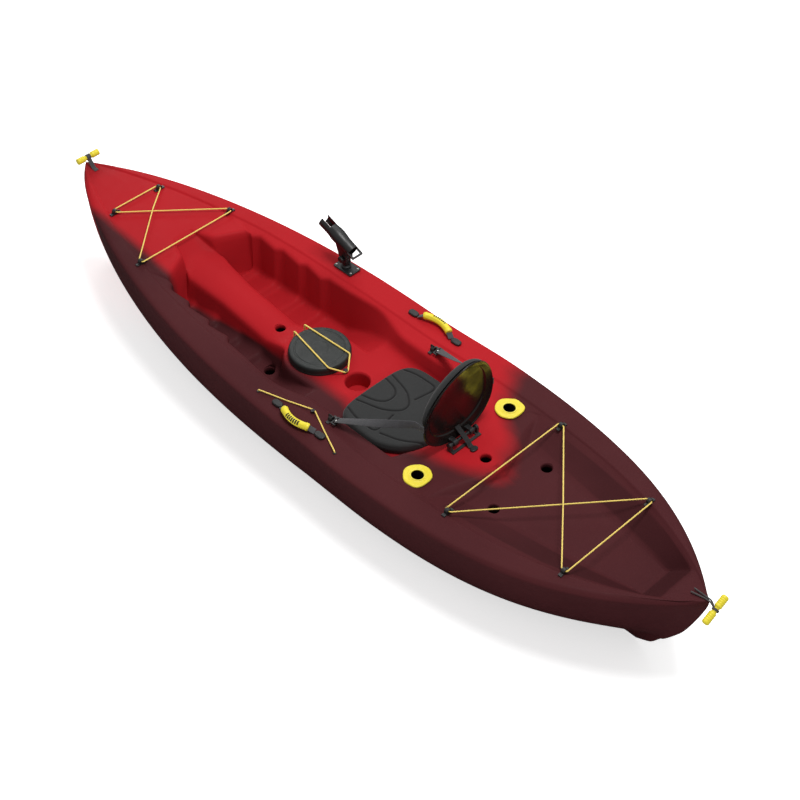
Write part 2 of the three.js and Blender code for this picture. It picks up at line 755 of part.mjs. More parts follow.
// Pad eyes: a foot and an arch whose hole runs fore and aft
const eyeTop = eyeBase + eyeHole * 2 - deckCordRadius - gap * 3;
const padEye = (x, y, z) => {
  const ring = eyeHole + eyeBar;
  const shape = new THREE.Shape();
  shape.moveTo(-eyeLength / 2, 0);
  shape.lineTo(eyeLength / 2, 0);
  shape.lineTo(eyeLength / 2, eyeBase);
  shape.lineTo(ring, eyeBase);
  shape.absarc(0, eyeBase + eyeHole, ring, 0, Math.PI);
  shape.lineTo(-ring, eyeBase);
  shape.lineTo(-eyeLength / 2, eyeBase);
  const hole = new THREE.Path();
  hole.absarc(0, eyeBase + eyeHole, eyeHole, 0, Math.PI * 2);
  shape.holes.push(hole);
  return new THREE.ExtrudeGeometry(shape, { depth: eyeWidth, bevelEnabled: false, curveSegments: 5 })
    .rotateX(Math.PI / 2)
    .rotateZ(Math.PI / 2)
    .translate(x - eyeWidth / 2, y, z);
};
const eyeSeat = (x, y) => seat(x, y, eyeWidth / 2, eyeLength / 2);

// Deck cords: a figure of eight round the inner foot of each of four pad eyes
const deckCord = (name, [front, rear]) => {
  const level = Object.fromEntries([front, rear].flatMap(([x, y]) =>
    [1, -1].map((side) => [`${x},${side}`, eyeSeat(x, side * y)])));
  [['front', front], ['rear', rear]].forEach(([where, [x, y]]) => sides.forEach(([label, side]) => {
    place(`${name}_pad_eye_${where}_${label}`, padEye(x, side * y, level[`${x},${side}`]), blackPlastic());
  }));
  const at = ([x, y], side, ahead) => vec(
    x + ahead * (eyeWidth / 2 + deckCordRadius + gap * 2),
    side * y,
    level[`${x},${side}`] + eyeTop,
  );
  const crossing = vec((front[0] + rear[0]) / 2, 0, 0);
  crossing.x = mix(front[0], rear[0], front[1] / (front[1] + rear[1]));
  crossing.z = Math.max(level[`${front[0]},1`], level[`${rear[0]},1`]) + eyeTop + deckCordRadius * 2;
  const open = vec(0, cordBend * 2, 0);
  const points = [
    at(front, 1, 1).sub(open),
    at(front, 1, 1),
    at(front, 1, -1),
    at(rear, -1, 1),
    at(rear, -1, -1),
    at(rear, 1, -1),
    at(rear, 1, 1),
    crossing,
    at(front, -1, -1),
    at(front, -1, 1),
    at(front, 1, 1).sub(open.clone().multiplyScalar(2)),
  ];
  place(`${name}_cord`, cord(deckCordRadius, points), shockCord());
};
deckCord('bow', bowEyes);
deckCord('stern', sternEyes);

// Studs that hold a turn of elastic cord, sized from the cord
const studShares = [2.6, 3, 2.3, 4.2, 5];
const stud = (radius) => {
  const [, foot, head, neck, top] = studShares.map((share) => share * radius);
  return turned([
    [0, 0],
    [foot, 0],
    [foot, radius],
    [radius, radius],
    [radius, neck],
    [head, neck],
    [head, top],
    [0, top],
  ], 12);
};

// Hatch: bucket, cover, and the cord that holds the cover down
const hatchSeat = consoleHeight + gap;
const bucketRim = hatchRadius + bucketFlange;
const bucketMouth = hatchRadius - gap * 2;
place('hatch_bucket', turned([
  [0, -bucketDepth],
  [bucketMouth - bucketTaper, -bucketDepth],
  [bucketMouth, 0],
  [bucketRim, 0],
  [bucketRim, bucketWall],
  [bucketMouth - bucketWall, bucketWall],
  [bucketMouth - bucketTaper - bucketWall, bucketWall - bucketDepth],
  [0, bucketWall - bucketDepth],
], 22).translate(hatchX, 0, hatchSeat), blackPlastic());
place('hatch_cover', turned([
  [0, hatchCoverHeight - hatchCoverWall],
  [hatchCoverRadius - hatchCoverWall - hatchCoverRound, hatchCoverHeight - hatchCoverWall],
  [hatchCoverRadius - hatchCoverWall, hatchCoverHeight - hatchCoverWall - hatchCoverRound],
  [hatchCoverRadius - hatchCoverWall, 0],
  [hatchCoverRadius, 0],
  [hatchCoverRadius, hatchCoverHeight - hatchCoverRound],
  [hatchCoverRadius - hatchCoverRound * 0.35, hatchCoverHeight - hatchCoverRound * 0.3],
  [hatchCoverRadius - hatchCoverRound, hatchCoverHeight],
  [0, hatchCoverHeight],
], 28).translate(hatchX, 0, hatchSeat), blackPlastic());
const hatchTop = hatchSeat + hatchCoverHeight + hatchCordRadius + gap;
place('hatch_cord_hook', stud(hatchCordRadius)
  .translate(hatchHookX, 0, consoleHeight + gap), blackPlastic());
const hookLevel = consoleHeight + gap + hatchCordRadius * studShares[0];
const hookTurn = hatchCordRadius * 2 + gap;
const frontAnchor = (side) => [
  hatchX + hatchCoverRadius + hatchCordRadius * 4,
  side * hatchCordFrontHalf + hatchCordShift,
];
sides.forEach(([label, side]) => {
  const [x, y] = frontAnchor(side);
  place(`hatch_cord_anchor_${label}`, turned([
    [0, 0],
    [hatchCordRadius * 2, 0],
    [hatchCordRadius * 2, hatchCordRadius],
    [0, hatchCordRadius],
  ], 12).translate(x, y, consoleHeight + gap), blackPlastic());
});
const hatchRun = (side) => {
  const [x, y] = frontAnchor(side);
  return [
    vec(x, y, consoleHeight + gap * 2 + hatchCordRadius),
    vec(x, y, hatchTop),
    vec(hatchCordRear[0], side * hatchCordRear[1], hatchTop),
  ];
};
place('hatch_cord', cord(hatchCordRadius, [
  ...hatchRun(-1),
  vec(hatchHookX - hookTurn, -hookTurn, hookLevel),
  vec(hatchHookX - hookTurn, hookTurn, hookLevel),
  ...hatchRun(1).reverse(),
]), shockCord());

// Carry toggles: a turned grip with a waist, and the strap or rope that ends in a ring round it
const waist = 0.68;
const toggleGrip = (length, ringWidth) => turned([
  [0, -length / 2],
  [toggleRadius * 0.7, -length / 2],
  [toggleRadius, -length / 2 + toggleRadius * 0.4],
  [toggleRadius, -ringWidth],
  [toggleRadius * waist, -ringWidth + toggleRadius * (1 - waist)],
  [toggleRadius * waist, ringWidth - toggleRadius * (1 - waist)],
  [toggleRadius, ringWidth],
  [toggleRadius, length / 2 - toggleRadius * 0.4],
  [toggleRadius * 0.7, length / 2],
  [0, length / 2],
], 16).rotateX(Math.PI / 2);
const ringBand = (width, thickness) => {
  const inside = toggleRadius * waist + gap;
  return turned([
    [inside, -width / 2],
    [inside + thickness, -width / 2],
    [inside + thickness, width / 2],
    [inside, width / 2],
    [inside, -width / 2],
  ], 16).rotateX(Math.PI / 2);
};
const lead = (from, to, inset) => {
  const run = to.clone().sub(from);
  return from.clone().addScaledVector(run, 1 - inset / run.length());
};
const bowGripAt = vec(bowToggle[0], 0, bowToggle[1]);
const bowExitSeat = seat(bowStrapExitX, 0, bowStrapWidth / 2, bowStrapWidth / 2);
const bowExit = vec(bowStrapExitX, 0, bowExitSeat + strapThickness / 2);
place('bow_toggle_grip', toggleGrip(bowToggleLength, bowStrapWidth)
  .translate(bowGripAt.x, 0, bowGripAt.z), yellowPlastic());
place('bow_toggle_strap', shown(join(
  solid(sweep(bar(bowStrapWidth, strapThickness), rounded([
    bowExit,
    bowExit.clone().add(vec(bowStrapWidth, 0, 0)),
    lead(bowExit, bowGripAt, toggleRadius * waist + gap + strapThickness / 2),
  ], bowStrapWidth * 0.6), vec(0, 1, 0))),
  solid(ringBand(bowStrapWidth, strapThickness).translate(bowGripAt.x, 0, bowGripAt.z)),
)), webbing());
const sternGripAt = vec(sternToggle[0], 0, sternToggle[1]);
place('stern_toggle_grip', toggleGrip(sternToggleLength, sternRopeRadius * 5)
  .rotateX(-sternToggleTilt)
  .translate(sternGripAt.x, 0, sternGripAt.z), yellowPlastic());
const ropeExit = (side) => {
  const y = side * sternRopeSpread;
  const z = seat(sternRopeExitX, y, sternRopeRadius, sternRopeRadius) + sternRopeRadius;
  return vec(sternRopeExitX, y, z);
};
const ropeOver = (side) => {
  const [x, y] = [sternTipX + toggleRadius, side * sternRopeSpread * 0.4];
  return vec(x, y, seat(x, y, sternRopeRadius, sternRopeRadius) + sternRopeRadius * 1.6);
};
const ropeOff = (side) => ropeOver(side).setX(sternTipX - sternRopeRadius * 1.6);
place('stern_toggle_rope', shown(join(
  ...[1, -1].map((side) => solid(cord(sternRopeRadius, [
    ropeExit(side),
    ropeOver(side),
    ropeOff(side),
    lead(ropeOff(side), sternGripAt, toggleRadius * waist + sternRopeRadius * 1.1),
  ], cordBend * 2))),
  solid(ringBand(sternRopeRadius * 3, sternRopeRadius * 1.4)
    .rotateX(-sternToggleTilt)
    .translate(sternGripAt.x, 0, sternGripAt.z)),
)), webbing());

// Side carry handles: brackets, a webbing strap between them, and a curved hollow grip on it
sides.forEach(([label, side]) => {
  const y = side * handleY;
  const ends = [['front', 1], ['rear', -1]].map(([where, ahead]) => {
    const x = handleX + ahead * handleHalfSpan;
    const z = seat(x, y, handleBracketLength / 2, handleBracketWidth / 2);
    place(`handle_bracket_${where}_${label}`, flat(
      stadium(handleBracketLength, handleBracketWidth),
      handleBracketHeight,
      0,
      handleBracketHeight / 4,
    ).translate(x, y, z), blackPlastic());
    return vec(x - ahead * (handleBracketLength / 2 + gap * 6), y, z + handleBracketHeight / 2);
  });
  const bowed = (t) => {
    const lift = Math.sin(Math.PI * t);
    const p = ends[0].clone().lerp(ends[1], t);
    return p.add(vec(0, side * gripBow * lift, gripLift * Math.min(1, lift / gripLiftShare)));
  };
  const run = ends[0].distanceTo(ends[1]);
  const from = 0.5 - gripHalfLength / run;
  const gripPoints = range(9).map((i) => bowed(mix(from, 1 - from, i / 8)));
  const beyond = (end, inside) =>
    end.clone().addScaledVector(end.clone().sub(inside).normalize(), strapThickness * 2);
  const hole = new THREE.Path();
  const [w, h] = [handleStrapWidth / 2 + gap, strapThickness / 2 + gap];
  hole.moveTo(-w, -h);
  hole.lineTo(-w, h);
  hole.lineTo(w, h);
  hole.lineTo(w, -h);
  const tube = disc(gripRadius);
  tube.holes.push(hole);
  place(`handle_grip_${label}`, sweep(tube, gripPoints, vec(0, 1, 0), 6, vec(0, 1, 0)), yellowPlastic());
  place(`handle_strap_${label}`, sweep(
    bar(handleStrapWidth, strapThickness),
    [
      ends[0],
      beyond(gripPoints[0], gripPoints[1]),
      ...gripPoints,
      beyond(gripPoints.at(-1), gripPoints.at(-2)),
      ends[1],
    ],
    vec(0, 1, 0),
    2,
    vec(0, 1, 0),
  ), webbing());
});

// Paddle keeper: elastic cord on the port gunwale, run inboard of the handle and round a stud
const keeperAt = (x, y) => vec(x, y, seat(x, y, keeperEyelet, keeperEyelet));
const keeperEnds = [['front', keeperFront], ['rear', keeperRear]].map(([where, [x, y]]) => {
  const foot = keeperAt(x, y);
  place(`paddle_keeper_eyelet_${where}`, turned([
    [keeperRadius + gap, 0],
    [keeperEyelet, 0],
    [keeperEyelet * 0.8, keeperEyeletHeight],
    [keeperRadius + gap, keeperEyeletHeight],
    [keeperRadius + gap, 0],
  ], 12).translate(x, y, foot.z), blackPlastic());
  return foot;
});
const keeperStud = keeperAt(keeperHook[0], keeperHook[1] + keeperRadius * 2 + gap);
place('paddle_keeper_hook', stud(keeperRadius).translate(...keeperStud), blackPlastic());
const keeperTurn = vec(keeperHook[0], keeperHook[1], keeperStud.z + keeperRadius * studShares[0]);
const keeperHalf = (foot, ahead) => {
  const middle = foot.clone().lerp(keeperTurn, 0.5);
  return [
    foot,
    foot.clone().add(vec(0, 0, keeperEyeletHeight + keeperRadius * 2)),
    keeperAt(middle.x, middle.y).add(vec(0, 0, keeperRadius + gap * 2)),
    keeperTurn.clone().add(vec(ahead * keeperRadius * 2, 0, 0)),
  ];
};
place('paddle_keeper_cord', cord(keeperRadius, [
  ...keeperHalf(keeperEnds[0], 1),
  ...keeperHalf(keeperEnds[1], -1).reverse(),
], keeperRadius * 2), shockCord());

// Flush rod holders: a flange on the deck and a raked tube, closed at its foot
sides.forEach(([label, side]) => {
  const [x, y] = [flushHolder[0], side * flushHolder[1]];
  const reach = Math.max(...flushOutline.flat());
  const z = seat(x, y, reach, reach);
  const outline = new THREE.SplineCurve([...flushOutline, flushOutline[0]]
    .map(([u, v]) => new THREE.Vector2(u, side * v)));
  const rake = (geometry) => geometry.rotateY(-flushTubeTilt).translate(x, y, deckHeight);
  const way = rake(new THREE.CylinderGeometry(flushTubeOuter + gap, flushTubeOuter + gap, reach * 2, 20)
    .rotateX(Math.PI / 2));
  place(`flush_rod_holder_flange_${label}`, shown(cut(
    solid(flat(new THREE.Shape(outline.getPoints(27).slice(0, -1)), flushFlangeThickness, 0, flushTubeStand)
      .translate(x, y, z)),
    solid(way),
  )), yellowPlastic());
  const tube = rake(turned([
    [0, -flushTubeLength],
    [flushTubeOuter, -flushTubeLength],
    [flushTubeOuter, reach],
    [flushTubeBore, reach],
    [flushTubeBore, flushTubeOuter - flushTubeBore - flushTubeLength],
    [0, flushTubeOuter - flushTubeBore - flushTubeLength],
  ], 20));
  const top = z + flushFlangeThickness + flushTubeStand;
  place(`flush_rod_holder_tube_${label}`, shown(cut(
    solid(tube),
    solid(block(x - reach * 2, x + reach * 2, y - reach, y + reach, top, top + reach * 2)),
  )), yellowPlastic());
});

// Adjustable rod holder: plate, screws, swivelling post, tilting cradle and its knob
const [holderX, holderY] = holderAt;
const holderZ = seat(holderX, holderY, holderPlate[0] / 2, holderPlate[1] / 2);
const roundedRect = (length, width, corner) => {
  const [u, v] = [length / 2, width / 2];
  const shape = new THREE.Shape();
  shape.moveTo(u, corner - v);
  shape.lineTo(u, v - corner);
  shape.quadraticCurveTo(u, v, u - corner, v);
  shape.lineTo(corner - u, v);
  shape.quadraticCurveTo(-u, v, -u, v - corner);
  shape.lineTo(-u, corner - v);
  shape.quadraticCurveTo(-u, -v, corner - u, -v);
  shape.lineTo(u - corner, -v);
  shape.quadraticCurveTo(u, -v, u, corner - v);
  return shape;
};
const plateOutline = roundedRect(...holderPlate, holderPlateCorner);
const plateHole = new THREE.Path();
plateHole.absarc(hubOffset, 0, holderSpigotRadius + gap + flushTubeStand, 0, Math.PI * 2);
plateOutline.holes.push(plateHole);
place('rod_holder_plate', flat(
  plateOutline,
  holderPlateThickness,
  holderZ,
  flushTubeStand,
).translate(holderX, holderY, 0), blackPlastic());
const plateTop = holderZ + holderPlateThickness + gap;
[['front', 1], ['rear', -1]].forEach(([where, ahead]) => sides.forEach(([label, side]) => {
  place(`rod_holder_screw_${where}_${label}`, turned([
    [0, 0],
    [holderScrewRadius, 0],
    [holderScrewRadius * 0.8, holderScrewHeight * 0.7],
    [holderScrewRadius * 0.4, holderScrewHeight],
    [0, holderScrewHeight],
  ], 8).translate(holderX + ahead * holderScrew[0], holderY + side * holderScrew[1], plateTop), steel());
}));
const hubX = holderX + hubOffset;
const across = (radius, half, sides_ = 20) => new THREE.CylinderGeometry(radius, radius, half * 2, sides_);
const [postFoot, postNeck, postHead] = holderPostRadii;
const hubBolt = across(holderBoltRadius + gap, hubHalfWidth * 4, 12);
const hubBore = solid(hubBolt.translate(hubX, holderY, hubHeight));
place('rod_holder_post', shown(cut(join(
  solid(turned([
    [0, gap - holderPlateThickness],
    [holderSpigotRadius, gap - holderPlateThickness],
    [holderSpigotRadius, 0],
    [postFoot, 0],
    [postFoot, holderPostHeight * 0.2],
    [postNeck, holderPostHeight * 0.35],
    [postNeck, holderPostHeight * 0.75],
    [postHead, holderPostHeight * 0.85],
    [postHead, holderPostHeight],
    [0, holderPostHeight],
  ], 18).translate(hubX, holderY, plateTop)),
  solid(block(
    hubX - hubRadius * 0.8,
    hubX + hubRadius * 0.8,
    holderY - hubHalfWidth,
    holderY + hubHalfWidth,
    plateTop + holderPostHeight - hubRadius * 0.3,
    hubHeight,
  )),
  solid(across(hubRadius, hubHalfWidth).translate(hubX, holderY, hubHeight)),
), hubBore)), blackPlastic());
const tilted = (geometry) => geometry.rotateY(-cradleTilt).translate(hubX, holderY, cradleHeight);
const [cradleRear, cradleFront] = [cradleProfile[0][0], cradleProfile.at(-1)[0]];
const laid = (geometry) => geometry.rotateY(Math.PI / 2);
const ear = new THREE.Shape();
ear.absarc(0, 0, hubRadius, Math.PI * 1.02, Math.PI * 2);
ear.lineTo(hubRadius * 2.2, cradleHeight - hubHeight);
ear.lineTo(-hubRadius, cradleHeight - hubHeight);
const ears = [1, -1].map((side) => solid(
  new THREE.ExtrudeGeometry(ear, { depth: earThickness, bevelEnabled: false, curveSegments: 8 })
    .rotateX(Math.PI / 2)
    .translate(hubX, holderY + side * (hubHalfWidth + gap + earThickness / 2) + earThickness / 2, hubHeight),
));
const loop = roundedRect(...cradleLoop, cradleLoopBar / 2);
loop.holes.push(roundedRect(
  cradleLoop[0] - cradleLoopBar * 2,
  cradleLoop[1] - cradleLoopBar * 2,
  cradleLoopBar / 3,
));
const [slotLength, slotWidth] = cradleSlot;
place('rod_holder_cradle', shown(cut(
  join(
    solid(tilted(laid(turned([
      [0, cradleRear],
      ...cradleProfile.map(([u, r]) => [r, u]),
      [0, cradleFront],
    ], 20)))),
    solid(tilted(flat(loop, cradleLoopBar, -cradleLoopBar / 2)
      .translate(cradleRear - cradleLoop[0] / 2 + cradleLoopBar, 0, 0))),
    ...ears,
  ),
  solid(tilted(laid(turned([
    [0, cradleRear - overrun],
    [cradleBore, cradleRear - overrun],
    [cradleBore, cradleFront + overrun],
    [0, cradleFront + overrun],
  ], 20)))),
  solid(tilted(block(
    cradleFront - slotLength,
    cradleFront + overrun,
    -slotWidth / 2,
    slotWidth / 2,
    -hubHeight,
    hubHeight,
  ))),
  hubBore,
)), blackPlastic());
const knobY = holderY + hubHalfWidth + earThickness + gap * 2;
place('rod_holder_knob', turned([
  [0, -(hubHalfWidth + earThickness) * 2],
  [holderBoltRadius, -(hubHalfWidth + earThickness) * 2],
  [holderBoltRadius, 0],
  [knobRadius * 0.7, 0],
  [knobRadius, knobWidth * 0.3],
  [knobRadius, knobWidth * 0.85],
  [knobRadius * 0.85, knobWidth],
  [0, knobWidth],
], 16).rotateX(-Math.PI / 2).translate(hubX, knobY, hubHeight), blackPlastic());

// Seat pad with its moulded grooves
const padPower = (x) => (x > 0 ? padFrontPower : padRearPower);
const padPoint = (i, count, share, z) => {
  const t = -2 * Math.PI * i / count;
  const power = 2 / padPower(Math.cos(t));
  const half = Math.cos(t) > 0 ? padFrontHalf : padRearHalf;
  return vec(
    padCentreX + share * half * Math.sign(Math.cos(t)) * Math.abs(Math.cos(t)) ** power,
    share * padHalfWidth * Math.sign(Math.sin(t)) * Math.abs(Math.sin(t)) ** power,
    z,
  );
};
const padSeat = seat(padCentreX, 0, padRearHalf * 0.8, padHalfWidth * 0.7);
const padTop = (share) => padSeat + padThickness + padCrown * (1 - share * share);
const padShare = (x, y) => {
  const u = x - padCentreX;
  const power = padPower(u);
  const half = u > 0 ? padFrontHalf : padRearHalf;
  return ((Math.abs(u) / half) ** power + (Math.abs(y) / padHalfWidth) ** power) ** (1 / power);
};
const padCount = 32;
const padBody = ringSolid([
  ...padRingShares.map(([share, up]) =>
    range(padCount).map((i) => padPoint(i, padCount, share, padSeat + up * padThickness))),
  ...padTopShares.map((share) => range(padCount).map((i) => padPoint(i, padCount, share, padTop(share)))),
], true);
const grooveCuts = grooves.flatMap((line) => {
  const mirrored = line.some(([, y]) => y < 0) ? [1] : [1, -1];
  return mirrored.map((side) => solid(sweep(disc(grooveRadius), rounded(
    line.map(([x, y]) => vec(x, side * y, padTop(padShare(x, y)) - grooveSink)),
    padCrown * 4,
    2,
  ), vec(0, 0, 1), 3)));
});
place('seat_pad', shown(cut(solid(padBody), ...grooveCuts)), foam());

// Backrest shell and cushion
const backHalf = backHeight / 2;
const backPoint = (t, r, offset, rise = 1, shares = [1, 1]) => {
  const pick = (v) => Math.sign(v) * Math.abs(v) ** (2 / backPower);
  const u = r * shares[0] * pick(Math.cos(t));
  const h = backHalf * (rise + r * shares[1] * pick(Math.sin(t)));
  const v = h / backHalf - 1;
  return vec(
    backBottom[0] + backLean * h + backWrap * u ** 2
      + backDish * (1 - Math.min(1, Math.hypot(u, v)) ** backDishPower) + offset,
    backHalfWidth * u * (1 - backTaperShare * v),
    backBottom[1] + h,
  );
};
const backCount = 32;
const backRing = (r, offset, rise, shares) =>
  range(backCount).map((i) => backPoint(2 * Math.PI * i / backCount, r, offset, rise, shares));
const backWidest = Math.max(...backRing(1, 0).map((p) => p.y));
const [stepIn, stepOut] = backStepShares;
const backShell = ringSolid([
  ...[0.45, stepIn].map((r) => backRing(r, backWall + backStep)),
  ...[stepOut, 0.92, 1].map((r) => backRing(r, backWall)),
  ...[1, 0.96, stepOut].map((r) => backRing(r, 0)),
  ...[stepIn, 0.6, 0.35].map((r) => backRing(r, backStep)),
], true);
const [pinX, pinZ] = pinAt;
const lugs = [1, -1].flatMap((side) => {
  const middle = side * (lug[0] + lug[1]) / 2;
  const half = (lug[1] - lug[0]) / 2;
  return [
    solid(across(lugRadius, half, 16).translate(pinX, middle, pinZ)),
    solid(block(
      pinX,
      pinX + lugReach,
      middle - half,
      middle + half,
      pinZ - lugRadius * 0.6,
      pinZ + lugRadius,
    )),
  ];
});
place('backrest_shell', shown(cut(
  join(solid(backShell), ...lugs),
  solid(across(pinRadius + gap, pinHalfLength, 16).translate(pinX, 0, pinZ)),
)), blackPlastic());
const cushionRing = (r, offset) =>
  backRing(r, backWall + backStep + gap * 6 + offset, 2 * cushionRise, cushionShares);
place('backrest_cushion', ringSolid([
  ...[...cushionFaceShares].reverse().map(([r, thick]) => cushionRing(r, thick * cushionThickness)),
  ...[1, 0.85, 0.6, 0.3].map((r) => cushionRing(r, 0)),
], true), foam());

// Hinge bracket on the bridge behind the seat, and its pin
const [footRearX, footFrontX] = bracketFootX;
const footZ = seat((footRearX + footFrontX) / 2, 0, (footFrontX - footRearX) / 2, bracketEar[1]);
const bracketBody = join(
  solid(block(
    footRearX,
    footRearX + lugRadius,
    -bracketEar[1],
    bracketEar[1],
    footZ,
    footZ + bracketFootThickness,
  )),
  ...[1, -1].flatMap((side) => {
    const [inner, outer] = [side * bracketFootInner, side * bracketEar[1]].sort((a, b) => a - b);
    const [earIn, earOut] = bracketEar.map((y) => side * y).sort((a, b) => a - b);
    return [
      solid(block(...bracketFootX, inner, outer, footZ, footZ + bracketFootThickness)),
      solid(block(pinX - lugRadius, pinX + lugRadius * 0.5, earIn, earOut, footZ, pinZ)),
      solid(across(lugRadius, (earOut - earIn) / 2, 16).translate(pinX, (earIn + earOut) / 2, pinZ)),
    ];
  }),
);
place('backrest_hinge_bracket', shown(cut(
  bracketBody,
  solid(across(pinRadius + gap, pinHalfLength, 16).translate(pinX, 0, pinZ)),
)), blackPlastic());
place('backrest_hinge_pin', across(pinRadius, pinHalfLength, 16).translate(pinX, 0, pinZ), blackPlastic());

// Rear strap from the shell's back down to an anchor on the bridge
const anchorHalf = handleBracketWidth / 2;
const anchorZ = seat(rearAnchorX, 0, anchorHalf, anchorHalf);
place('rear_strap_anchor', flat(
  stadium(handleBracketLength * 0.7, handleBracketWidth * 0.8),
  handleBracketHeight * 0.8,
  0,
  handleBracketHeight / 5,
).rotateZ(Math.PI / 2).translate(rearAnchorX, 0, anchorZ), blackPlastic());
const strapFoot = vec(
  rearAnchorX + handleBracketWidth * 0.4 + gap * 2,
  0,
  anchorZ + handleBracketHeight * 0.4,
);
const strapHeadLevel = backStep - gap * 3 - strapThickness / 2;
const strapHead = backPoint(-Math.PI / 2, 1 - rearStrapRise / backHalf, strapHeadLevel);
place('rear_strap', sweep(bar(rearStrapWidth, strapThickness), rounded([
  strapFoot,
  strapFoot.clone().add(vec(rearStrapWidth * 0.4, 0, strapThickness)),
  strapFoot.clone().add(vec(rearStrapWidth * 0.8, 0, rearStrapWidth * 0.7)),
  strapHead,
], rearStrapWidth * 0.3), vec(0, 1, 0)), webbing());

// Side straps: pad eye, clip and strap up to the edge of the backrest, on both sides
sides.forEach(([label, side]) => {
  const [x, y] = [seatEye[0], side * seatEye[1]];
  const z = eyeSeat(x, y);
  place(`seat_pad_eye_${label}`, padEye(x, y, z), blackPlastic());
  const hold = z + eyeBase + eyeHole;
  const over = z + eyeBase + eyeHole * 2 + eyeBar + clipRadius + gap * 2;
  const frameX = x - eyeWidth / 2 - clipReach;
  const half = clipBar / 2;
  const frame = roundedRect(...clipFrame, half);
  frame.holes.push(roundedRect(clipFrame[0] - clipBar * 2, clipFrame[1] - clipBar * 2, half / 2));
  place(`seat_strap_clip_${label}`, shown(join(
    solid(cord(clipRadius, [
      vec(frameX + clipFrame[0] / 2 - half, y, hold + half),
      vec(x - eyeWidth / 2, y, hold + gap),
      vec(x + eyeWidth / 2 + clipRadius * 2, y, hold + gap),
      vec(x + eyeWidth / 2 + clipRadius * 2, y, over),
      vec(x - eyeWidth / 4, y, over),
    ], clipRadius * 2)),
    solid(flat(frame, clipBar, hold).translate(frameX, y, 0)),
  )), blackPlastic());
  const end = vec(seatStrapEnd[0], side * (backWidest + gap * 2 + strapThickness / 2), seatStrapEnd[1]);
  const turn = end.clone().add(vec(seatStrapWidth * 1.4, 0, 0));
  const start = vec(frameX, y, hold - half);
  const rise = start.clone().add(vec(0, 0, clipBar * 2));
  place(`seat_strap_${label}`, sweep(bar(seatStrapWidth, strapThickness), rounded([
    start,
    ...range(6).map((i) => rise.clone().lerp(turn, i / 6)),
    turn,
    end,
  ], clipBar * 2, 2), vec(0, -side, 0), 2, vec(0, 0, 1)), webbing());
});

export default part;
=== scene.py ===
"""Sit-on-top fishing kayak: the visible surfaces, materials, light and camera.

Shapes are worked out in millimetres with +X to the bow, +Y to port and +Z up, and put in the mesh in metres.
"""

import bpy
import bmesh
import numpy as np
from mathutils import Matrix, Vector


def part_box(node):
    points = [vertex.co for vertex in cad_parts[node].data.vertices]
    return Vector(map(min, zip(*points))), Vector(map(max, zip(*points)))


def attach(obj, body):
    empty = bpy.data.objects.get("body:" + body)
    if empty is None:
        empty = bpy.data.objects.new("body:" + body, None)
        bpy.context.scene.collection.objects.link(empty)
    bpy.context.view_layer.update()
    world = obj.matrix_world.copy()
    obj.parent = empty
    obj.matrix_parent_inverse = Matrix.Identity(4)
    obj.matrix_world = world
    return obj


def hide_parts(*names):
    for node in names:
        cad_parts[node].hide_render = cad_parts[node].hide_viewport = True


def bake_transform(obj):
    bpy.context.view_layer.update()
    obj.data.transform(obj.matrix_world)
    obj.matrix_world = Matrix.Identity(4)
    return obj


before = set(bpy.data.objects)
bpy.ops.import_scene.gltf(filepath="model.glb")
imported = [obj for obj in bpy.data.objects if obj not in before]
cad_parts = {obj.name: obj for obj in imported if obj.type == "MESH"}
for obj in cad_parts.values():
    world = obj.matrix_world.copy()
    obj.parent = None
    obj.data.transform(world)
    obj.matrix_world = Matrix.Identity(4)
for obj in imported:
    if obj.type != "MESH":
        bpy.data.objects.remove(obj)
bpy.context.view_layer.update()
MM = 0.001
TAU = 2 * np.pi
SIDES = (("port", 1), ("starboard", -1))
FRONT_REAR = (("front", 1), ("rear", -1))

# In millimetres: a cord's radius, a strap's thickness and the gap between pieces
CORD_R, STRAP_T, GAP = 2.5, 2.4, 0.3

# In metres: points nearer than this become one
MERGE = 0.00002


# Camera at the photograph's angle, and lamps

def linked(name, data):
    """A new object for the data, in the scene."""
    obj = bpy.data.objects.new(name, data)
    bpy.context.scene.collection.objects.link(obj)
    return obj


def place_camera():
    """A 79 mm lens three quarters from the port quarter, looking down on the boat."""
    camera = linked("camera", bpy.data.cameras.new("camera"))
    camera.data.lens = 78.72
    camera.data.sensor_width = 36
    camera.data.clip_end = 60
    back = Vector((-0.50702, 0.50091, 0.70143))
    right = Vector((0, 0, 1)).cross(back).normalized()
    turn = Matrix((right, back.cross(right), back.normalized())).transposed()
    camera.matrix_world = Matrix.Translation((-3.233, 2.992, 4.507)) @ turn.to_4x4()
    bpy.context.scene.camera = camera


def add_lamp(name, where, size, power):
    """A round lamp that faces the middle of the boat."""
    lamp = bpy.data.lights.new(name, "AREA")
    lamp.shape = "DISK"
    lamp.size = size
    lamp.energy = power
    obj = linked(name, lamp)
    obj.location = where
    obj.rotation_euler = (Vector((0, 0, 0.2)) - Vector(where)).to_track_quat("-Z", "Y").to_euler()


# Node graphs

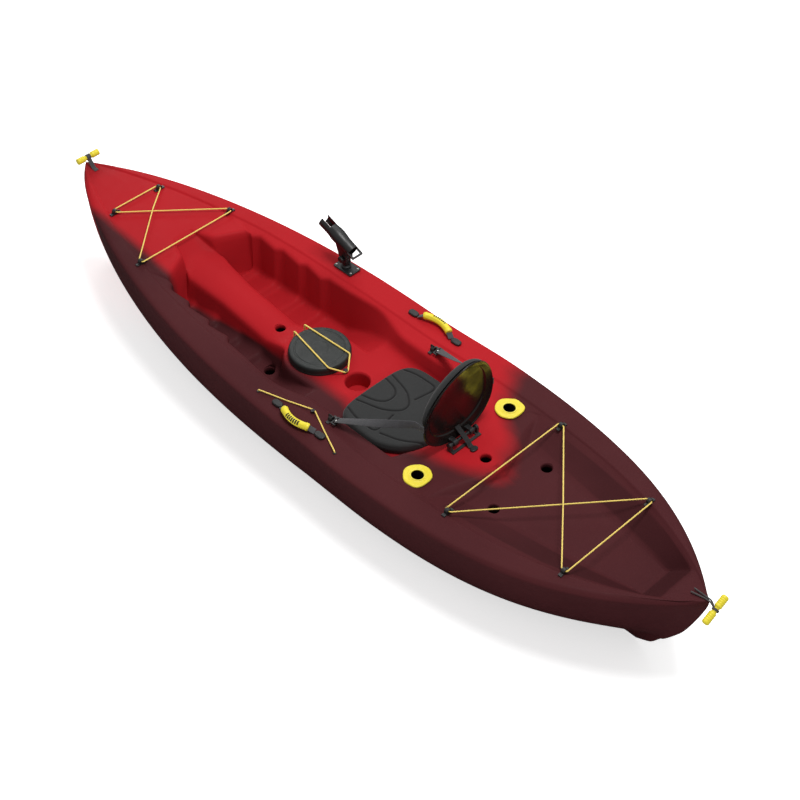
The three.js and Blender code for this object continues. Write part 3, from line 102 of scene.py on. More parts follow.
class Graph:
    """A short way to write one material's nodes."""

    def __init__(self, name):
        self.material = bpy.data.materials.new(name)
        self.material.use_nodes = True
        self.tree = self.material.node_tree
        self.shader = self.tree.nodes["Principled BSDF"]

    def node(self, kind, inputs=None, **settings):
        made = self.tree.nodes.new(kind)
        for key, value in settings.items():
            setattr(made, key, value)
        for key, value in (inputs or {}).items():
            self.feed(made.inputs[key], value)
        return made

    def feed(self, socket, value):
        if isinstance(value, bpy.types.NodeSocket):
            self.tree.links.new(value, socket)
        else:
            socket.default_value = value

    def at(self, scale=(1, 1, 1)):
        """Object coordinates, stretched."""
        place = self.node("ShaderNodeTexCoord").outputs["Object"]
        return self.node("ShaderNodeMapping", {"Vector": place, "Scale": scale}).outputs[0]

    def noise(self, scale, detail, vector=None):
        given = {"Vector": vector or self.at(), "Scale": scale, "Detail": detail, "Roughness": 0.55}
        return self.node("ShaderNodeTexNoise", given).outputs["Fac"]

    def ramp(self, value, low, high, to_low=0.0, to_high=1.0):
        given = {"Value": value, "From Min": low, "From Max": high, "To Min": to_low, "To Max": to_high}
        return self.node("ShaderNodeMapRange", given, interpolation_type="SMOOTHSTEP").outputs[0]

    def math(self, operation, *values):
        return self.node("ShaderNodeMath", dict(enumerate(values)), operation=operation).outputs[0]

    def mix(self, factor, a, b):
        return self.node("ShaderNodeMix", {"Factor": factor, 6: a, 7: b}, data_type="RGBA").outputs[2]

    def attribute(self, name, output="Fac"):
        return self.node("ShaderNodeAttribute", attribute_name=name).outputs[output]

    def bump(self, height, distance, **under):
        given = {"Height": height, "Distance": distance, "Strength": 1.0, **under}
        return self.node("ShaderNodeBump", given).outputs[0]

    def set(self, **inputs):
        for key, value in inputs.items():
            self.feed(self.shader.inputs[key.replace("_", " ")], value)
        return self.material


def linear(r, g, b):
    """A screen colour from 0 to 255 as linear light."""
    c = np.array([r, g, b]) / 255
    c = np.where(c <= 0.04045, c / 12.92, ((c + 0.055) / 1.055) ** 2.4)
    return (*c.tolist(), 1.0)


def moulded(name, colour, convex_tint, roughness, grain=260.0, depth=0.00025, painted_shade=None):
    """Injection-moulded plastic: fine grain, slow change of colour and sheen, paler where convex."""
    g = Graph(name)
    body = g.mix(g.noise(9.0, 4.0), colour, tuple(0.82 * c for c in colour[:3]) + (1.0,))
    # Convex edges are made paler.
    pointy = g.node("ShaderNodeNewGeometry").outputs["Pointiness"]
    body = g.mix(g.ramp(pointy, 0.52, 0.64), body, convex_tint)
    # Painted shade: the attribute given here darkens slots and hollows almost to black, where shade falls.
    if painted_shade:
        body = g.mix(g.ramp(g.attribute(painted_shade), 0.45, 0.6), body, linear(22, 22, 22))
    rough = g.ramp(g.noise(30.0, 4.0), 0.3, 0.7, roughness - 0.05, roughness + 0.07)
    return g.set(Base_Color=body, Roughness=rough, Normal=g.bump(g.noise(grain, 2.0), depth))


def hull_plastic():
    """Rotomoulded hull: bright red drifting into dark maroon, with a soft skin and faint flow marks."""
    g = Graph("hull_plastic")
    drift = g.math("MULTIPLY_ADD", g.noise(3.2, 4.0), 0.34, -0.17)
    streak = g.ramp(g.noise(5.0, 3.0, g.at((0.35, 2.4, 2.4))), 0.3, 0.7, -0.05, 0.05)
    field = g.math("ADD", g.math("ADD", g.attribute("tone"), drift), streak)
    share = g.ramp(field, 0.2, 0.8)
    red = g.mix(g.noise(2.2, 2.0), linear(183, 33, 40), linear(162, 30, 36))
    maroon = g.mix(g.noise(2.0, 3.0), linear(84, 39, 42), linear(62, 29, 32))
    body = g.mix(share, red, maroon)
    speck = g.ramp(g.noise(420.0, 1.0), 0.62, 0.75)
    body = g.mix(g.math("MULTIPLY", speck, 0.03), body, linear(230, 120, 110))
    # Painted shade: the bore field darkens the scupper bores and the tank well's walls towards near black.
    body = g.mix(g.ramp(g.attribute("bore"), 0.2, 0.9), body, linear(18, 8, 9))
    rough = g.ramp(g.noise(24.0, 4.0), 0.3, 0.7, 0.4, 0.5)
    skin = g.bump(g.noise(150.0, 3.0), 0.00035)
    waves = g.bump(g.noise(7.0, 2.0), 0.0016, Normal=skin)
    return g.set(Base_Color=body, Roughness=rough, Normal=waves, Specular_IOR_Level=0.03)


def woven(name, light, dark, pitch, sheen=0.2):
    """Webbing: warp ribs along the run crossed by weft, from the piece's own run and width."""
    g = Graph(name)
    parts = g.node("ShaderNodeSeparateXYZ", {0: g.attribute("run", "Vector")}).outputs
    warp = g.math("SINE", g.math("MULTIPLY", parts[1], TAU / pitch))
    weft = g.math("SINE", g.math("MULTIPLY", parts[0], TAU / pitch / 1.4))
    weave = g.math("MULTIPLY", warp, weft)
    body = g.mix(g.ramp(weave, -1.0, 1.0), dark, light)
    body = g.mix(g.ramp(g.noise(40.0, 3.0), 0.35, 0.7, 0.0, 0.35), body, dark)
    return g.set(Base_Color=body, Roughness=0.78, Normal=g.bump(weave, 0.0003), Sheen_Weight=sheen)


def braided(name, light, dark, pitch, fleck=0.3):
    """Braided cord: two sets of strands crossing round it, from the cord's own run and turn."""
    g = Graph(name)
    parts = g.node("ShaderNodeSeparateXYZ", {0: g.attribute("run", "Vector")}).outputs
    along = g.math("MULTIPLY", parts[0], TAU / pitch)
    turn = g.math("MULTIPLY", parts[1], TAU * 4)
    left = g.math("SINE", g.math("ADD", along, turn))
    right = g.math("SINE", g.math("SUBTRACT", along, turn))
    braid = g.math("MULTIPLY", left, right)
    body = g.mix(g.ramp(braid, 0.1, 0.8, 0.0, fleck), light, dark)
    return g.set(Base_Color=body, Roughness=0.62, Normal=g.bump(braid, 0.0004), Sheen_Weight=0.15)


def pad_foam():
    """Closed-cell foam with a fine fabric face, and painted shade in its grooves."""
    g = Graph("seat_foam")
    knit = g.node("ShaderNodeTexVoronoi", {"Vector": g.at(), "Scale": 620.0}).outputs["Distance"]
    body = g.mix(g.noise(14.0, 4.0), linear(36, 37, 37), linear(29, 30, 30))
    # Painted shade: the groove attribute darkens the grooves almost to black.
    body = g.mix(g.ramp(g.attribute("groove"), 0.2, 0.6), body, linear(3, 3, 3))
    body = g.mix(g.ramp(g.noise(500.0, 1.0), 0.55, 0.8, 0.0, 0.25), body, linear(52, 52, 52))
    soft = g.bump(g.noise(30.0, 3.0), 0.0006, Normal=g.bump(knit, 0.0002))
    return g.set(Base_Color=body, Roughness=0.86, Normal=soft, Sheen_Weight=0.1, Sheen_Roughness=0.5)


def shell_plastic():
    """The backrest's gloss black shell, with long soft ripples in the moulding."""
    g = Graph("shell_plastic")
    body = g.mix(g.noise(6.0, 3.0), linear(22, 18, 18), linear(32, 26, 24))
    rough = g.ramp(g.noise(18.0, 4.0), 0.3, 0.7, 0.14, 0.26)
    ripple = g.bump(g.noise(9.0, 2.0), 0.002, Normal=g.bump(g.noise(300.0, 2.0), 0.00008))
    return g.set(Base_Color=body, Roughness=rough, Normal=ripple, Specular_IOR_Level=0.3)


def bright_steel():
    """Stainless steel, brushed one way."""
    g = Graph("bright_steel")
    brushed = g.noise(60.0, 3.0, g.at((1, 12, 1)))
    return g.set(
        Base_Color=g.mix(brushed, linear(215, 215, 210), linear(180, 180, 176)), Metallic=1.0,
        Roughness=g.ramp(brushed, 0.3, 0.7, 0.2, 0.34), Normal=g.bump(brushed, 0.0001),
    )


# Each look is a material and its slot

BLACK = moulded("black_plastic", linear(24, 24, 25), linear(48, 48, 48), 0.42), "black_plastic"
COVER = moulded("cover_plastic", linear(32, 36, 34), linear(50, 52, 51), 0.55, 180.0, 0.0004), "black_plastic"
YELLOW = moulded("yellow_plastic", linear(242, 222, 52), linear(250, 238, 120), 0.42), "yellow_plastic"
GRIP = moulded("grip_plastic", linear(244, 226, 52), linear(250, 240, 120), 0.44, painted_shade="painted_shade"), "yellow_plastic"
HULL = hull_plastic(), "hull_plastic"
WEBBING = woven("webbing", linear(78, 77, 80), linear(46, 45, 48), 0.0032), "webbing"
DARK_WEBBING = woven("dark_webbing", linear(40, 39, 40), linear(24, 23, 24), 0.0032, 0.1), "webbing"
CORD = braided("shock_cord", linear(254, 224, 112), linear(200, 142, 48), 0.006), "shock_cord"
ROPE = braided("rope", linear(70, 66, 66), linear(34, 32, 32), 0.005, 0.6), "rope"
FOAM = pad_foam(), "seat_foam"
SHELL = shell_plastic(), "black_plastic"
STEEL = bright_steel(), "steel"


# Meshes from numpy arrays

def merged(mesh, least=MERGE, outwards=True, flatten=False):
    """Joins a mesh's doubles and, to flatten it, its coplanar faces, and turns its faces outwards."""
    bm = bmesh.new()
    bm.from_mesh(mesh)
    bmesh.ops.remove_doubles(bm, verts=bm.verts, dist=least)
    if flatten:
        bmesh.ops.dissolve_limit(bm, angle_limit=np.radians(1.0), verts=bm.verts, edges=bm.edges)
    if outwards:
        bmesh.ops.recalc_face_normals(bm, faces=bm.faces)
    bm.to_mesh(mesh)
    bm.free()
    return mesh


def new_mesh(name, points, faces):
    """A mesh in metres from points in millimetres and lists of faces."""
    mesh = bpy.data.meshes.new(name)
    corners = (np.asarray(points, float) * MM).tolist()
    mesh.from_pydata(corners, [], [face for part in faces for face in part.tolist()])
    return mesh


def build(name, points, faces, look, body, sharp, attributes, node):
    """One closed piece at the origin that rides on its body and stands for its node."""
    mesh = new_mesh(name, points, faces)
    for key, values in (attributes or {}).items():
        values = np.asarray(values, float)
        kind, field = ("FLOAT", "value") if values.ndim == 1 else ("FLOAT_VECTOR", "vector")
        store = mesh.attributes.new(key, kind, "POINT")
        store.data.foreach_set(field, values.ravel().astype(np.float32))
    return finished(name, merged(mesh), look, body, sharp, node)


def finished(name, mesh, look, body, sharp, node):
    """Shades and links a mesh, parents it to its body and hides the CAD node it stands for."""
    mesh.polygons.foreach_set("use_smooth", np.ones(len(mesh.polygons), bool))
    mesh.set_sharp_from_angle(angle=np.radians(sharp))
    mesh.materials.clear()
    mesh.materials.append(look[0])
    obj = linked(name, mesh)
    if node:
        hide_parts(node)
    if body:
        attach(obj, body)
    return obj


def net(rows, columns, wrap=False, first=0):
    """Quads of a grid of rows by columns, closed round its columns if wrapped."""
    i = np.arange(rows - 1)[:, None]
    j = np.arange(columns if wrap else columns - 1)[None]
    a = i * columns + j
    b = i * columns + (j + 1) % columns
    return np.stack([a, b, b + columns, a + columns], -1).reshape(-1, 4) + first


def soften(points, radius, steps=4, closed=False):
    """Rounds the corners of a polyline with quadratic curves that start a radius from each corner.

    Works on any stack of polylines: the last two axes are the corners and their coordinates.
    """
    p = np.asarray(points, float)
    before = np.roll(p, 1, -2)
    after = np.roll(p, -1, -2)
    if not closed:
        before[..., 0, :] = p[..., 0, :]
        after[..., -1, :] = p[..., -1, :]
    r = np.broadcast_to(radius, p.shape[:-1])[..., None]

    def toward(q):
        run = q - p
        size = np.linalg.norm(run, axis=-1, keepdims=True)
        return p + run * np.minimum(r / np.maximum(size, 1e-9), 0.46)

    a, b = toward(before)[..., None, :], toward(after)[..., None, :]
    t = np.linspace(0, 1, steps)[:, None]
    c = p[..., None, :]
    curve = (1 - t) ** 2 * a + 2 * t * (1 - t) * c + t ** 2 * b
    out = curve.reshape(*p.shape[:-2], -1, p.shape[-1])
    if closed:
        return out
    return np.concatenate([p[..., :1, :], out[..., steps:-steps, :], p[..., -1:, :]], -2)


def spline(points, per):
    """A smooth curve through the points: a cubic for each run, with per points on it."""
    p = np.asarray(points, float)
    q = np.vstack([2 * p[0] - p[1], p, 2 * p[-1] - p[-2]])
    t = np.linspace(0, 1, per, endpoint=False)[:, None]
    runs = []
    for a, b, c, d in zip(q, q[1:], q[2:], q[3:]):
        square, cube = 2 * a - 5 * b + 4 * c - d, 3 * b - a - 3 * c + d
        runs.append(0.5 * (2 * b + (c - a) * t + square * t ** 2 + cube * t ** 3))
    return np.vstack([*runs, p[-1:]])


def around(count):
    """Angles round a circle, with their cosines and sines."""
    a = np.linspace(0, TAU, count, endpoint=False)
    return a, np.cos(a), np.sin(a)


def lathe(profile, sides):
    """Rings of a profile of (distance from the axis, height) turned about +Z."""
    _, c, s = around(sides)
    return np.stack([profile[:, :1] * c, profile[:, :1] * s, profile[:, 1:] + 0 * c], -1)


def rocked(points, angle, i, j):
    """Points turned by an angle in the plane of axes i and j."""
    c, s, u, v = np.cos(angle), np.sin(angle), points[..., i], points[..., j]
    out = points.copy()
    out[..., i], out[..., j] = u * c - v * s, u * s + v * c
    return out


def frames(path, side):
    """Unit side and normal at each point. side is one direction, a row of them, or None to carry it along."""
    tangent = np.gradient(path, axis=0)
    tangent /= np.linalg.norm(tangent, axis=1, keepdims=True)
    if side is None:
        start = np.eye(3)[np.argmin(np.abs(tangent[0]))]
        sides = np.empty_like(path)
        for k, t in enumerate(tangent):
            start = start - t * start.dot(t)
            start = start / np.linalg.norm(start)
            sides[k] = start
    else:
        sides = np.broadcast_to(np.asarray(side, float), path.shape)
        sides = sides - tangent * (sides * tangent).sum(1, keepdims=True)
        sides = sides / np.linalg.norm(sides, axis=1, keepdims=True)
    return sides, np.cross(tangent, sides)


def lengths(path):
    """Distance along a path to each of its points."""
    return np.r_[0, np.cumsum(np.linalg.norm(np.diff(path, axis=0), axis=1))]


def tube_wall(name, rings, look, body, sharp, attributes=None, node=None, open_ends=False):
    """A closed surface from rings of equal size. End rings that aren't single points are closed flat."""
    rings = np.asarray(rings, float)
    n, m = rings.shape[:2]
    faces = [net(n, m, True)]
    if not open_ends:
        for k, turn in ((0, -1), (n - 1, 1)):
            if np.ptp(rings[k], axis=0).max() > 0.05:
                faces.append((np.arange(m)[::turn] + k * m)[None])
    return build(name, rings.reshape(-1, 3), faces, look, body, sharp, attributes, node)


def carried(name, path, profile, wide, side, sharp, look, body, node):
    """A closed profile carried along a path. Its run holds the length along it and wide, for the weave."""
    across, up = frames(path, side)
    rings = path[:, None] + (profile[:, :1] * across[:, None] + profile[:, 1:] * up[:, None])
    run = np.zeros(rings.shape)
    run[..., 0] = lengths(path)[:, None] * MM
    run[..., 1] = wide
    return tube_wall(name, rings, look, body, sharp, {"run": run}, node)


def cord_piece(name, path, radius, look, body, node):
    """A round cord along a path, without the points closer than 2 mm to the one before."""
    kept = [path[0]]
    for point in path[1:]:
        if np.linalg.norm(point - kept[-1]) > 2:
            kept.append(point)
    a, c, s = around(14)
    return carried(name, np.array(kept), radius * np.stack([c, s], 1), a / TAU, None, 60, look, body, node)


def strap_piece(name, path, width, side, node, look=WEBBING):
    """A flat strap with rounded edges along a path. It rides on no body, as it runs between two."""
    t = STRAP_T / 2
    a = np.linspace(-np.pi / 2, np.pi / 2, 5)
    right = np.stack([width / 2 - t + t * np.cos(a), t * np.sin(a)], 1)
    profile = np.vstack([right, -right])
    return carried(name, path, profile, profile[:, 0] * MM, side, 50, look, None, node)


def bend(piece):
    """Bakes a piece's placement into its mesh, leaving it on no body."""
    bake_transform(piece)


def refined(node, bevel=0.8, body="kayak"):
    """A black copy of a CAD node, its doubles merged and its edges softened."""
    angle = 32.0
    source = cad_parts[node]
    mesh = source.data.copy()
    mesh.transform(source.matrix_world)
    mesh.name = node + "_fine"
    merged(merged(mesh, MERGE / 2, outwards=False, flatten=True), outwards=False)
    fine = finished(mesh.name, mesh, BLACK, body, angle, node)
    edge = fine.modifiers.new("soft edges", "BEVEL")
    edge.width = bevel * MM
    edge.segments = 2
    edge.limit_method = "ANGLE"
    edge.angle_limit = np.radians(angle)
    edge.harden_normals = True


# Hull: the moulding's own measures

BOW_X, STERN_X, WIDEST_X, HALF_BEAM, DECK_Z = 1530.0, -1526.0, -28.7, 389.0, 337.0
HALF_LENGTH = (BOW_X - STERN_X) / 2
SIDE_WIDTHS = np.array([0.99, 0.968, 0.934, 0.88, 0.819, 0.754, 0.627, 0.36, 0.29, 0.16, 0.065])
SIDE_HEIGHTS = np.array([0.93, 0.8, 0.62, 0.4, 0.245, 0.115, 0.012, 0, 0.05, 0.05, 0])
BOW_ENDS = np.array([1.003, 1.006, 1.01, 1.011, 1.009, 1, 0.985, 0.965, 0.935, 0.9, 0.87])
BOW_END_Z = np.array([1.12, 1.03, 0.88, 0.7, 0.56, 0.43, 0.31, 0.21, 0.13, 0.065, 0.03])
STERN_ENDS = np.array([1, 0.995, 0.984, 0.967, 0.951, 0.933, 0.917, 0.908, 0.902, 0.882, 0.868])
STERN_END_Z = np.array([1.12, 1.03, 0.88, 0.68, 0.52, 0.4, 0.3, 0.25, 0.235, 0.1, 0.06])
BOW_FINE = np.array([2.2, 2.25, 2.32, 2.34, 2.28, 2.18, 2.1, 2.11, 2.12, 2.5, 4])
STERN_FINE = np.array([3.7, 3.72, 3.72, 3.7, 3.6, 3.49, 3.41, 3.43, 3.45, 5, 9])
SWELLS = np.array([1, 0.9, 0.75, 0.6, 0.5, 0.4, 0.25, 0, 0, 0, 0])
BOW_LIFT = np.array([1.2, 1.6, 2.2, 2.8, 3.4, 4, 4.6, 5, 5.4, 7, 9])
STERN_LIFT = np.array([2.6, 2.8, 3, 3, 3, 3, 3, 3.2, 3.4, 9, 14])
CREASE = np.array([[-1, 0.86], [-0.86, 0.8], [-0.7, 0.775], [-0.5, 0.755], [-0.1, 0.723],
                   [0.25, 0.729], [0.5, 0.762], [0.7, 0.745], [1, 0.7]])
HATCH_X, CONSOLE_R, CONSOLE_Z = 200.0, 130.0, 262.0
BRACES, BRACE_RISE = np.array([422.0, 533.0, 655.0, 767.0]), 22
WELL_REAR, WELL_FOOT, WELL_FRONT, BRIDGE_REAR, BRIDGE_FRONT = -1412.0, -1322.0, -712.0, -676.0, -444.0
PAN_REAR, PAN_FRONT, FOOT_REAR, FOOT_FRONT, COCKPIT_X, NOSE_X = -402.0, -60.0, 312.0, 842.0, 877.0, 950.0
BRIDGE_Z, PAN_Z, TANK_Z = 331.0, 254.0, 306.0
BOW_BLUNT, STERN_BLUNT = 0.769, 0.963


def stops(x, *pairs):
    """Straight runs between (place, value) stops. A value may itself be a row along x."""
    places = [p for p, _ in pairs]
    values = np.array([np.broadcast_to(v, x.shape) for _, v in pairs], float)
    k = np.clip(np.searchsorted(places, x) - 1, 0, len(places) - 2)
    low, high = np.array(places)[k], np.array(places)[k + 1]
    t = np.clip((x - low) / (high - low), 0, 1)
    n = np.arange(x.size).reshape(x.shape)
    flat = values.reshape(len(places), -1)
    return flat[k, n] * (1 - t) + flat[k + 1, n] * t


def span(x, low, high):
    """Share of the way from low to high, held at 0 and 1."""
    return np.clip((x - low) / (high - low), 0, 1)


def smooth(share):
    """A share eased at 0 and at 1."""
    return share * share * (3 - 2 * share)


def outward(x):
    """Share of the way from the widest place to the bow or stern, and whether it is the bow."""
    ahead = x > WIDEST_X
    return np.where(ahead, span(x, WIDEST_X, BOW_X), span(x, WIDEST_X, STERN_X)), ahead


def swell(x):
    """The stern half's fuller gunwale: it grows over the first quarter aft of the widest place."""
    t = span(x, WIDEST_X, STERN_X)
    return 13 * smooth(span(t, 0, 0.25)) * (1 - t ** 8)


def sheer_half(x):
    """Half beam at the gunwale: power curves fore and aft of the widest place, and the stern's swell."""
    out, ahead = outward(x)
    p, q = np.where(ahead, 2.193, 3.377), np.where(ahead, BOW_BLUNT, STERN_BLUNT)
    return HALF_BEAM * (1 - out ** p) ** q + swell(x)


def sheer_z(x):
    """The gunwale's height: it rises to the bow from amidships, and late to the stern."""
    return DECK_Z + 60 * span(x, 0, BOW_X) ** 1.1 + 56 * span(x, 0, STERN_X) ** 3


def deck_top(x, y):
    """The deck's height, 5 mm crowned."""
    return sheer_z(x) + 5 * (1 - span(np.abs(y), 0, np.maximum(sheer_half(x), 0.3)) ** 2)


def brace(x):
    """Saw tooth of the foot braces: up at each riser, running out to the next."""
    total = np.zeros_like(x)
    for start, end in zip(BRACES, [*BRACES[1:], COCKPIT_X]):
        rise = span(x, start - 4, start + 4) * (1 - span(x, start, end))
        total += np.where(x > end - 4, 0, rise)
    return total


def aft_levels(deck):
    """Stops of the floor from the tank well's rear to the console."""
    return [(WELL_REAR, deck), (WELL_FOOT, TANK_Z), (WELL_FRONT, TANK_Z), (BRIDGE_REAR, BRIDGE_Z),
            (BRIDGE_FRONT, BRIDGE_Z), (PAN_REAR, PAN_Z), (PAN_FRONT, PAN_Z), (-18, CONSOLE_Z)]


def wall_lines(x):
    """Crease, and the upper and lower edges of the wells' side walls."""
    crease = sheer_half(x) * np.interp(x / HALF_LENGTH, CREASE[:, 0], CREASE[:, 1])
    shelf = smooth(span(x, 190, -20) * (1 - span(x, PAN_REAR, BRIDGE_REAR)))
    footwell = span(x, 80, FOOT_REAR) * (1 - span(x, COCKPIT_X, NOSE_X))
    top = (crease - 14) * (1 - shelf) + 216 * shelf - 16 * footwell - BRACE_RISE * brace(x)
    foot = top - 6
    base = stops(x, (WELL_REAR, foot), (WELL_FOOT, 62), (WELL_FRONT, 163), (BRIDGE_REAR, foot),
                 (BRIDGE_FRONT, foot), (PAN_REAR, 200), (PAN_FRONT, 200), (FOOT_REAR, foot))
    return crease, top, np.minimum(foot, base)


def deck_rows(x):
    """One half section of the deck at each station: (stations, rows, y and z)."""
    crease, lip, wall = wall_lines(x)
    sheer = sheer_half(x)

    def inner(y):
        return deck_top(x, y) - 5

    def ground(y):
        return y, np.where(is_open, floor, inner(y))

    middle = stops(x, *aft_levels(inner(0 * x)), (330, CONSOLE_Z), (411, 252), (FOOT_FRONT, 311),
                   (COCKPIT_X, 320), (NOSE_X, inner(0 * x)))
    floor = BRACE_RISE * brace(x) + stops(
        x, *aft_levels(inner(wall)), (80, CONSOLE_Z), (FOOT_REAR, 152), (FOOT_FRONT, 185),
        (COCKPIT_X, inner(wall)))
    is_open = (x > WELL_REAR) & (x < COCKPIT_X)
    crown = 14 * span(x, 330, 411) * (1 - span(x, FOOT_FRONT, COCKPIT_X))
    raised = np.where(is_open | (x < NOSE_X), middle - crown - floor, 0)
    console = np.sqrt(np.maximum(0, CONSOLE_R ** 2 - np.maximum(0, x - HATCH_X) ** 2))
    half = np.maximum(console, stops(x, (655, 68), (FOOT_FRONT, 86), (COCKPIT_X, 62), (NOSE_X, 38)))
    top = np.minimum(half, wall * 0.6)
    foot = np.minimum(top + np.maximum(8, raised * 0.24), wall * 0.8)
    shoulder = np.clip(raised, 0, 12)
    flat = np.where(raised > 0, middle - crown - shoulder, np.minimum(middle, floor))
    curve = np.minimum(14, sheer / 3)
    rows = [
        (0 * x, middle), (top * 0.6, middle - crown * 0.4), (top - 4, middle - crown),
        (top + 4, np.where(x < NOSE_X, flat, inner(top))),
        ground(foot), ground((foot + wall) / 2), ground(wall),
        (lip, inner(lip) - 5 * is_open),
        (crease - 7, inner(crease)), (crease, deck_top(x, crease)),
        ((crease + sheer) / 2, deck_top(x, (crease + sheer) / 2)),
        (sheer - curve, deck_top(x, sheer)), (sheer - curve * 0.2, sheer_z(x) - curve * 0.4),
    ]
    y, z = [np.stack(part, 1) for part in zip(*rows)]
    slim = span(sheer, 56, 28)[:, None]
    even = y[:, -1:] * np.linspace(0, 1, y.shape[1])
    crowned = deck_top(x[:, None], even)
    crowned[:, -1] = z[:, -1]
    return np.stack([y * (1 - slim) + even * slim, z * (1 - slim) + crowned * slim], -1)


def side_rows(x):
    """One half section of the side and bottom: (stations, rows, x y and z)."""
    t, ahead = [values[:, None] for values in outward(x)]
    k = np.arange(len(SIDE_WIDTHS))
    blunt = np.where(ahead, BOW_BLUNT + 0.377 / 11 * k, STERN_BLUNT + 0.561 / 11 * k)
    fine = np.where(ahead, BOW_FINE, STERN_FINE)
    lift = np.where(ahead, BOW_LIFT, STERN_LIFT)
    end_x = np.where(ahead, BOW_ENDS, STERN_ENDS)
    end_z = np.where(ahead, BOW_END_Z, STERN_END_Z)
    out_x = WIDEST_X + (x[:, None] - WIDEST_X) * end_x
    y = HALF_BEAM * SIDE_WIDTHS * (1 - t ** fine) ** blunt + swell(x)[:, None] * SWELLS
    z = DECK_Z * (SIDE_HEIGHTS * (1 - t ** lift) + end_z * t ** lift)
    keel = WIDEST_X + (x - WIDEST_X) * np.where(ahead[:, 0], 0.855, 0.84)
    rows = np.stack([out_x, y, z], -1)
    end = np.stack([keel, 0 * x, 0 * x], -1)[:, None]
    return np.concatenate([rows, end], 1)


def warped(x, y):
    """Bends straight stations into the footwells' front chevron, the round pan and the tank well's front."""
    side = np.abs(y)
    at = np.broadcast_to(x[:, None], y.shape)
    chevron = -87 * span(side, 36, 212) * stops(at, (775, 0), (FOOT_FRONT, 0.8), (COCKPIT_X, 1), (1215, 0))
    pan = 60 * span(side, 0, 200) ** 2 * stops(at, (-539, 0), (BRIDGE_FRONT, 1), (PAN_REAR, 1), (-232, 0))
    tank = 76 * span(side, 0, 216) * stops(at, (-1044, 0), (WELL_FRONT, 1), (BRIDGE_REAR, 1), (-539, 0))
    crease, lip, _ = wall_lines(x[:, None])
    inside = 1 - span(side, lip + 0.3, crease - 7)
    return at + inside * (chevron + pan + tank)


def eased(values, passes):
    """Averages each station with its neighbours, both ends held."""
    v = values.copy()
    for _ in range(passes):
        v[2:-2] = (v[1:-3] + 2 * v[2:-2] + v[3:-1]) / 4
    return v


def tone_field(points):
    """0 where the moulding is bright red, 1 where it is maroon: outboard of a line to port, and the stern. Low
    in the port footwell the maroon stands for painted shade.
    """
    x, y, z = points.T
    line = np.interp(
        x, [-760, -680, -600, -516, -317, -165, -26, 182, 345, 510, 668, 835, 1116, 1280, 1400, 1530],
        [-20, 30, 78, 118, 160, 140, 100, 92, 88, 122, 155, 168, 160, 152, 175, 200])
    # Painted shade: below z 228, between x 250 and 900, the line moves up to 105 mm inboard, so the port
    # footwell's floor near the hump's foot goes maroon where shade falls.
    line = line - 105 * span(z, 228, 168) * span(x, 900, 840) * span(x, 250, 310)
    port = np.clip((y - line) / np.interp(x, [-600, -400, 250, 420], [170, 125, 125, 95]) + 0.5, 0, 1)
    back = np.interp(y, [-390, -300, -200, -100, 0, 100, 200], [-400, -430, -510, -640, -690, -650, -520])
    stern = np.clip((back - x) / 240 + 0.5, 0, 1)
    under = span(z, 60, -100) * 0.4 + 0.45 * span(x, 1290, 1490)
    return np.clip(np.maximum.reduce([port, stern, under]), 0, 1)


def hull_points():
    """Rings of the outer skin from stern to bow: deck, sides and their mirror image, corners rounded."""
    ends = np.array([0, 2, 5, 9, 14, 20, 27, 35])
    x = np.unique(np.r_[STERN_X + ends, np.arange(STERN_X + 42, BOW_X - 42, 6.6), BOW_X - ends])
    deck = eased(deck_rows(x), 2)
    bent = warped(x, deck[..., 0])
    half = np.concatenate([np.concatenate([bent[..., None], deck], -1), side_rows(x)], 1)
    count = deck.shape[1]
    for row, where in ((0, STERN_X), (-1, BOW_X)):
        half[row, :, 1] = 0
        half[row, :count, 0] = where
        half[row, :count, 2] = sheer_z(where)
    fine = soften(half, [0, 30, 12, 12, 26, 30, 24, 16, 4, 4, 40, 12, 14,
                         30, 40, 50, 60, 60, 40, 30, 12, 12, 30, 20, 0])
    mirror = fine[:, -2:0:-1] * np.array([1, -1, 1])
    return np.concatenate([fine, mirror], 1)


def bore_tool(radius, x, y, low, high, sides=40, lip=3.0, rake=0.0):
    """Points and faces of an upright cylinder with a flared mouth, raked aft about its top."""
    mouth, over = radius + lip, high + 90
    profile = [[0, low], [radius, low], [radius, high - 22], [radius, high - lip], [mouth, high], [mouth, over],
               [0, over]]
    profile = soften(profile, [0, 0.01, 0.01, lip, 0.01, 0.01, 0])
    p = rocked(lathe(profile - [0, high], sides), rake, 0, 2)
    return p.reshape(-1, 3) + [x, y, high], net(len(profile), sides, True)


FLUSH_X, FLUSH_Y, FLUSH_RAKE = -507.0, 220.0, 0.3
SCUPPERS = [(411, 0, 252), (-606, 0, BRIDGE_Z), (352, 112, 154), (352, -112, 154),
            (-763, 128, TANK_Z), (-763, -128, TANK_Z)]
BORES = [
    *[(19, x, y, -20, z) for x, y, z in SCUPPERS],
    (44, 6, 0, 200, CONSOLE_Z, 56, 5), (98, HATCH_X, 0, 100, CONSOLE_Z, 72, 2),
    *[(25.5, FLUSH_X, side * FLUSH_Y, 140, DECK_Z, 40, 0.5, FLUSH_RAKE) for _, side in SIDES],
]


def bore_shade(points):
    """Painted shade: 1 on the walls of the scuppers from 18 mm below their mouths, and less on the tank well's
    walls, where shade falls.
    """
    x, y, z = points.T
    wall = span(z, TANK_Z + 2, TANK_Z + 8) * np.clip((deck_top(x, y) - 9 - z) / 5, 0, 1)
    shade = 0.47 * wall * (x < -650) * (x > -1420) * (np.abs(y) < wall_lines(x)[1] + 3)
    for at_x, at_y, mouth in SCUPPERS:
        inside = np.hypot(x - at_x, y - at_y) < 19.6
        shade[inside & (z < mouth - 18) & (z > 40)] = 1
    return shade


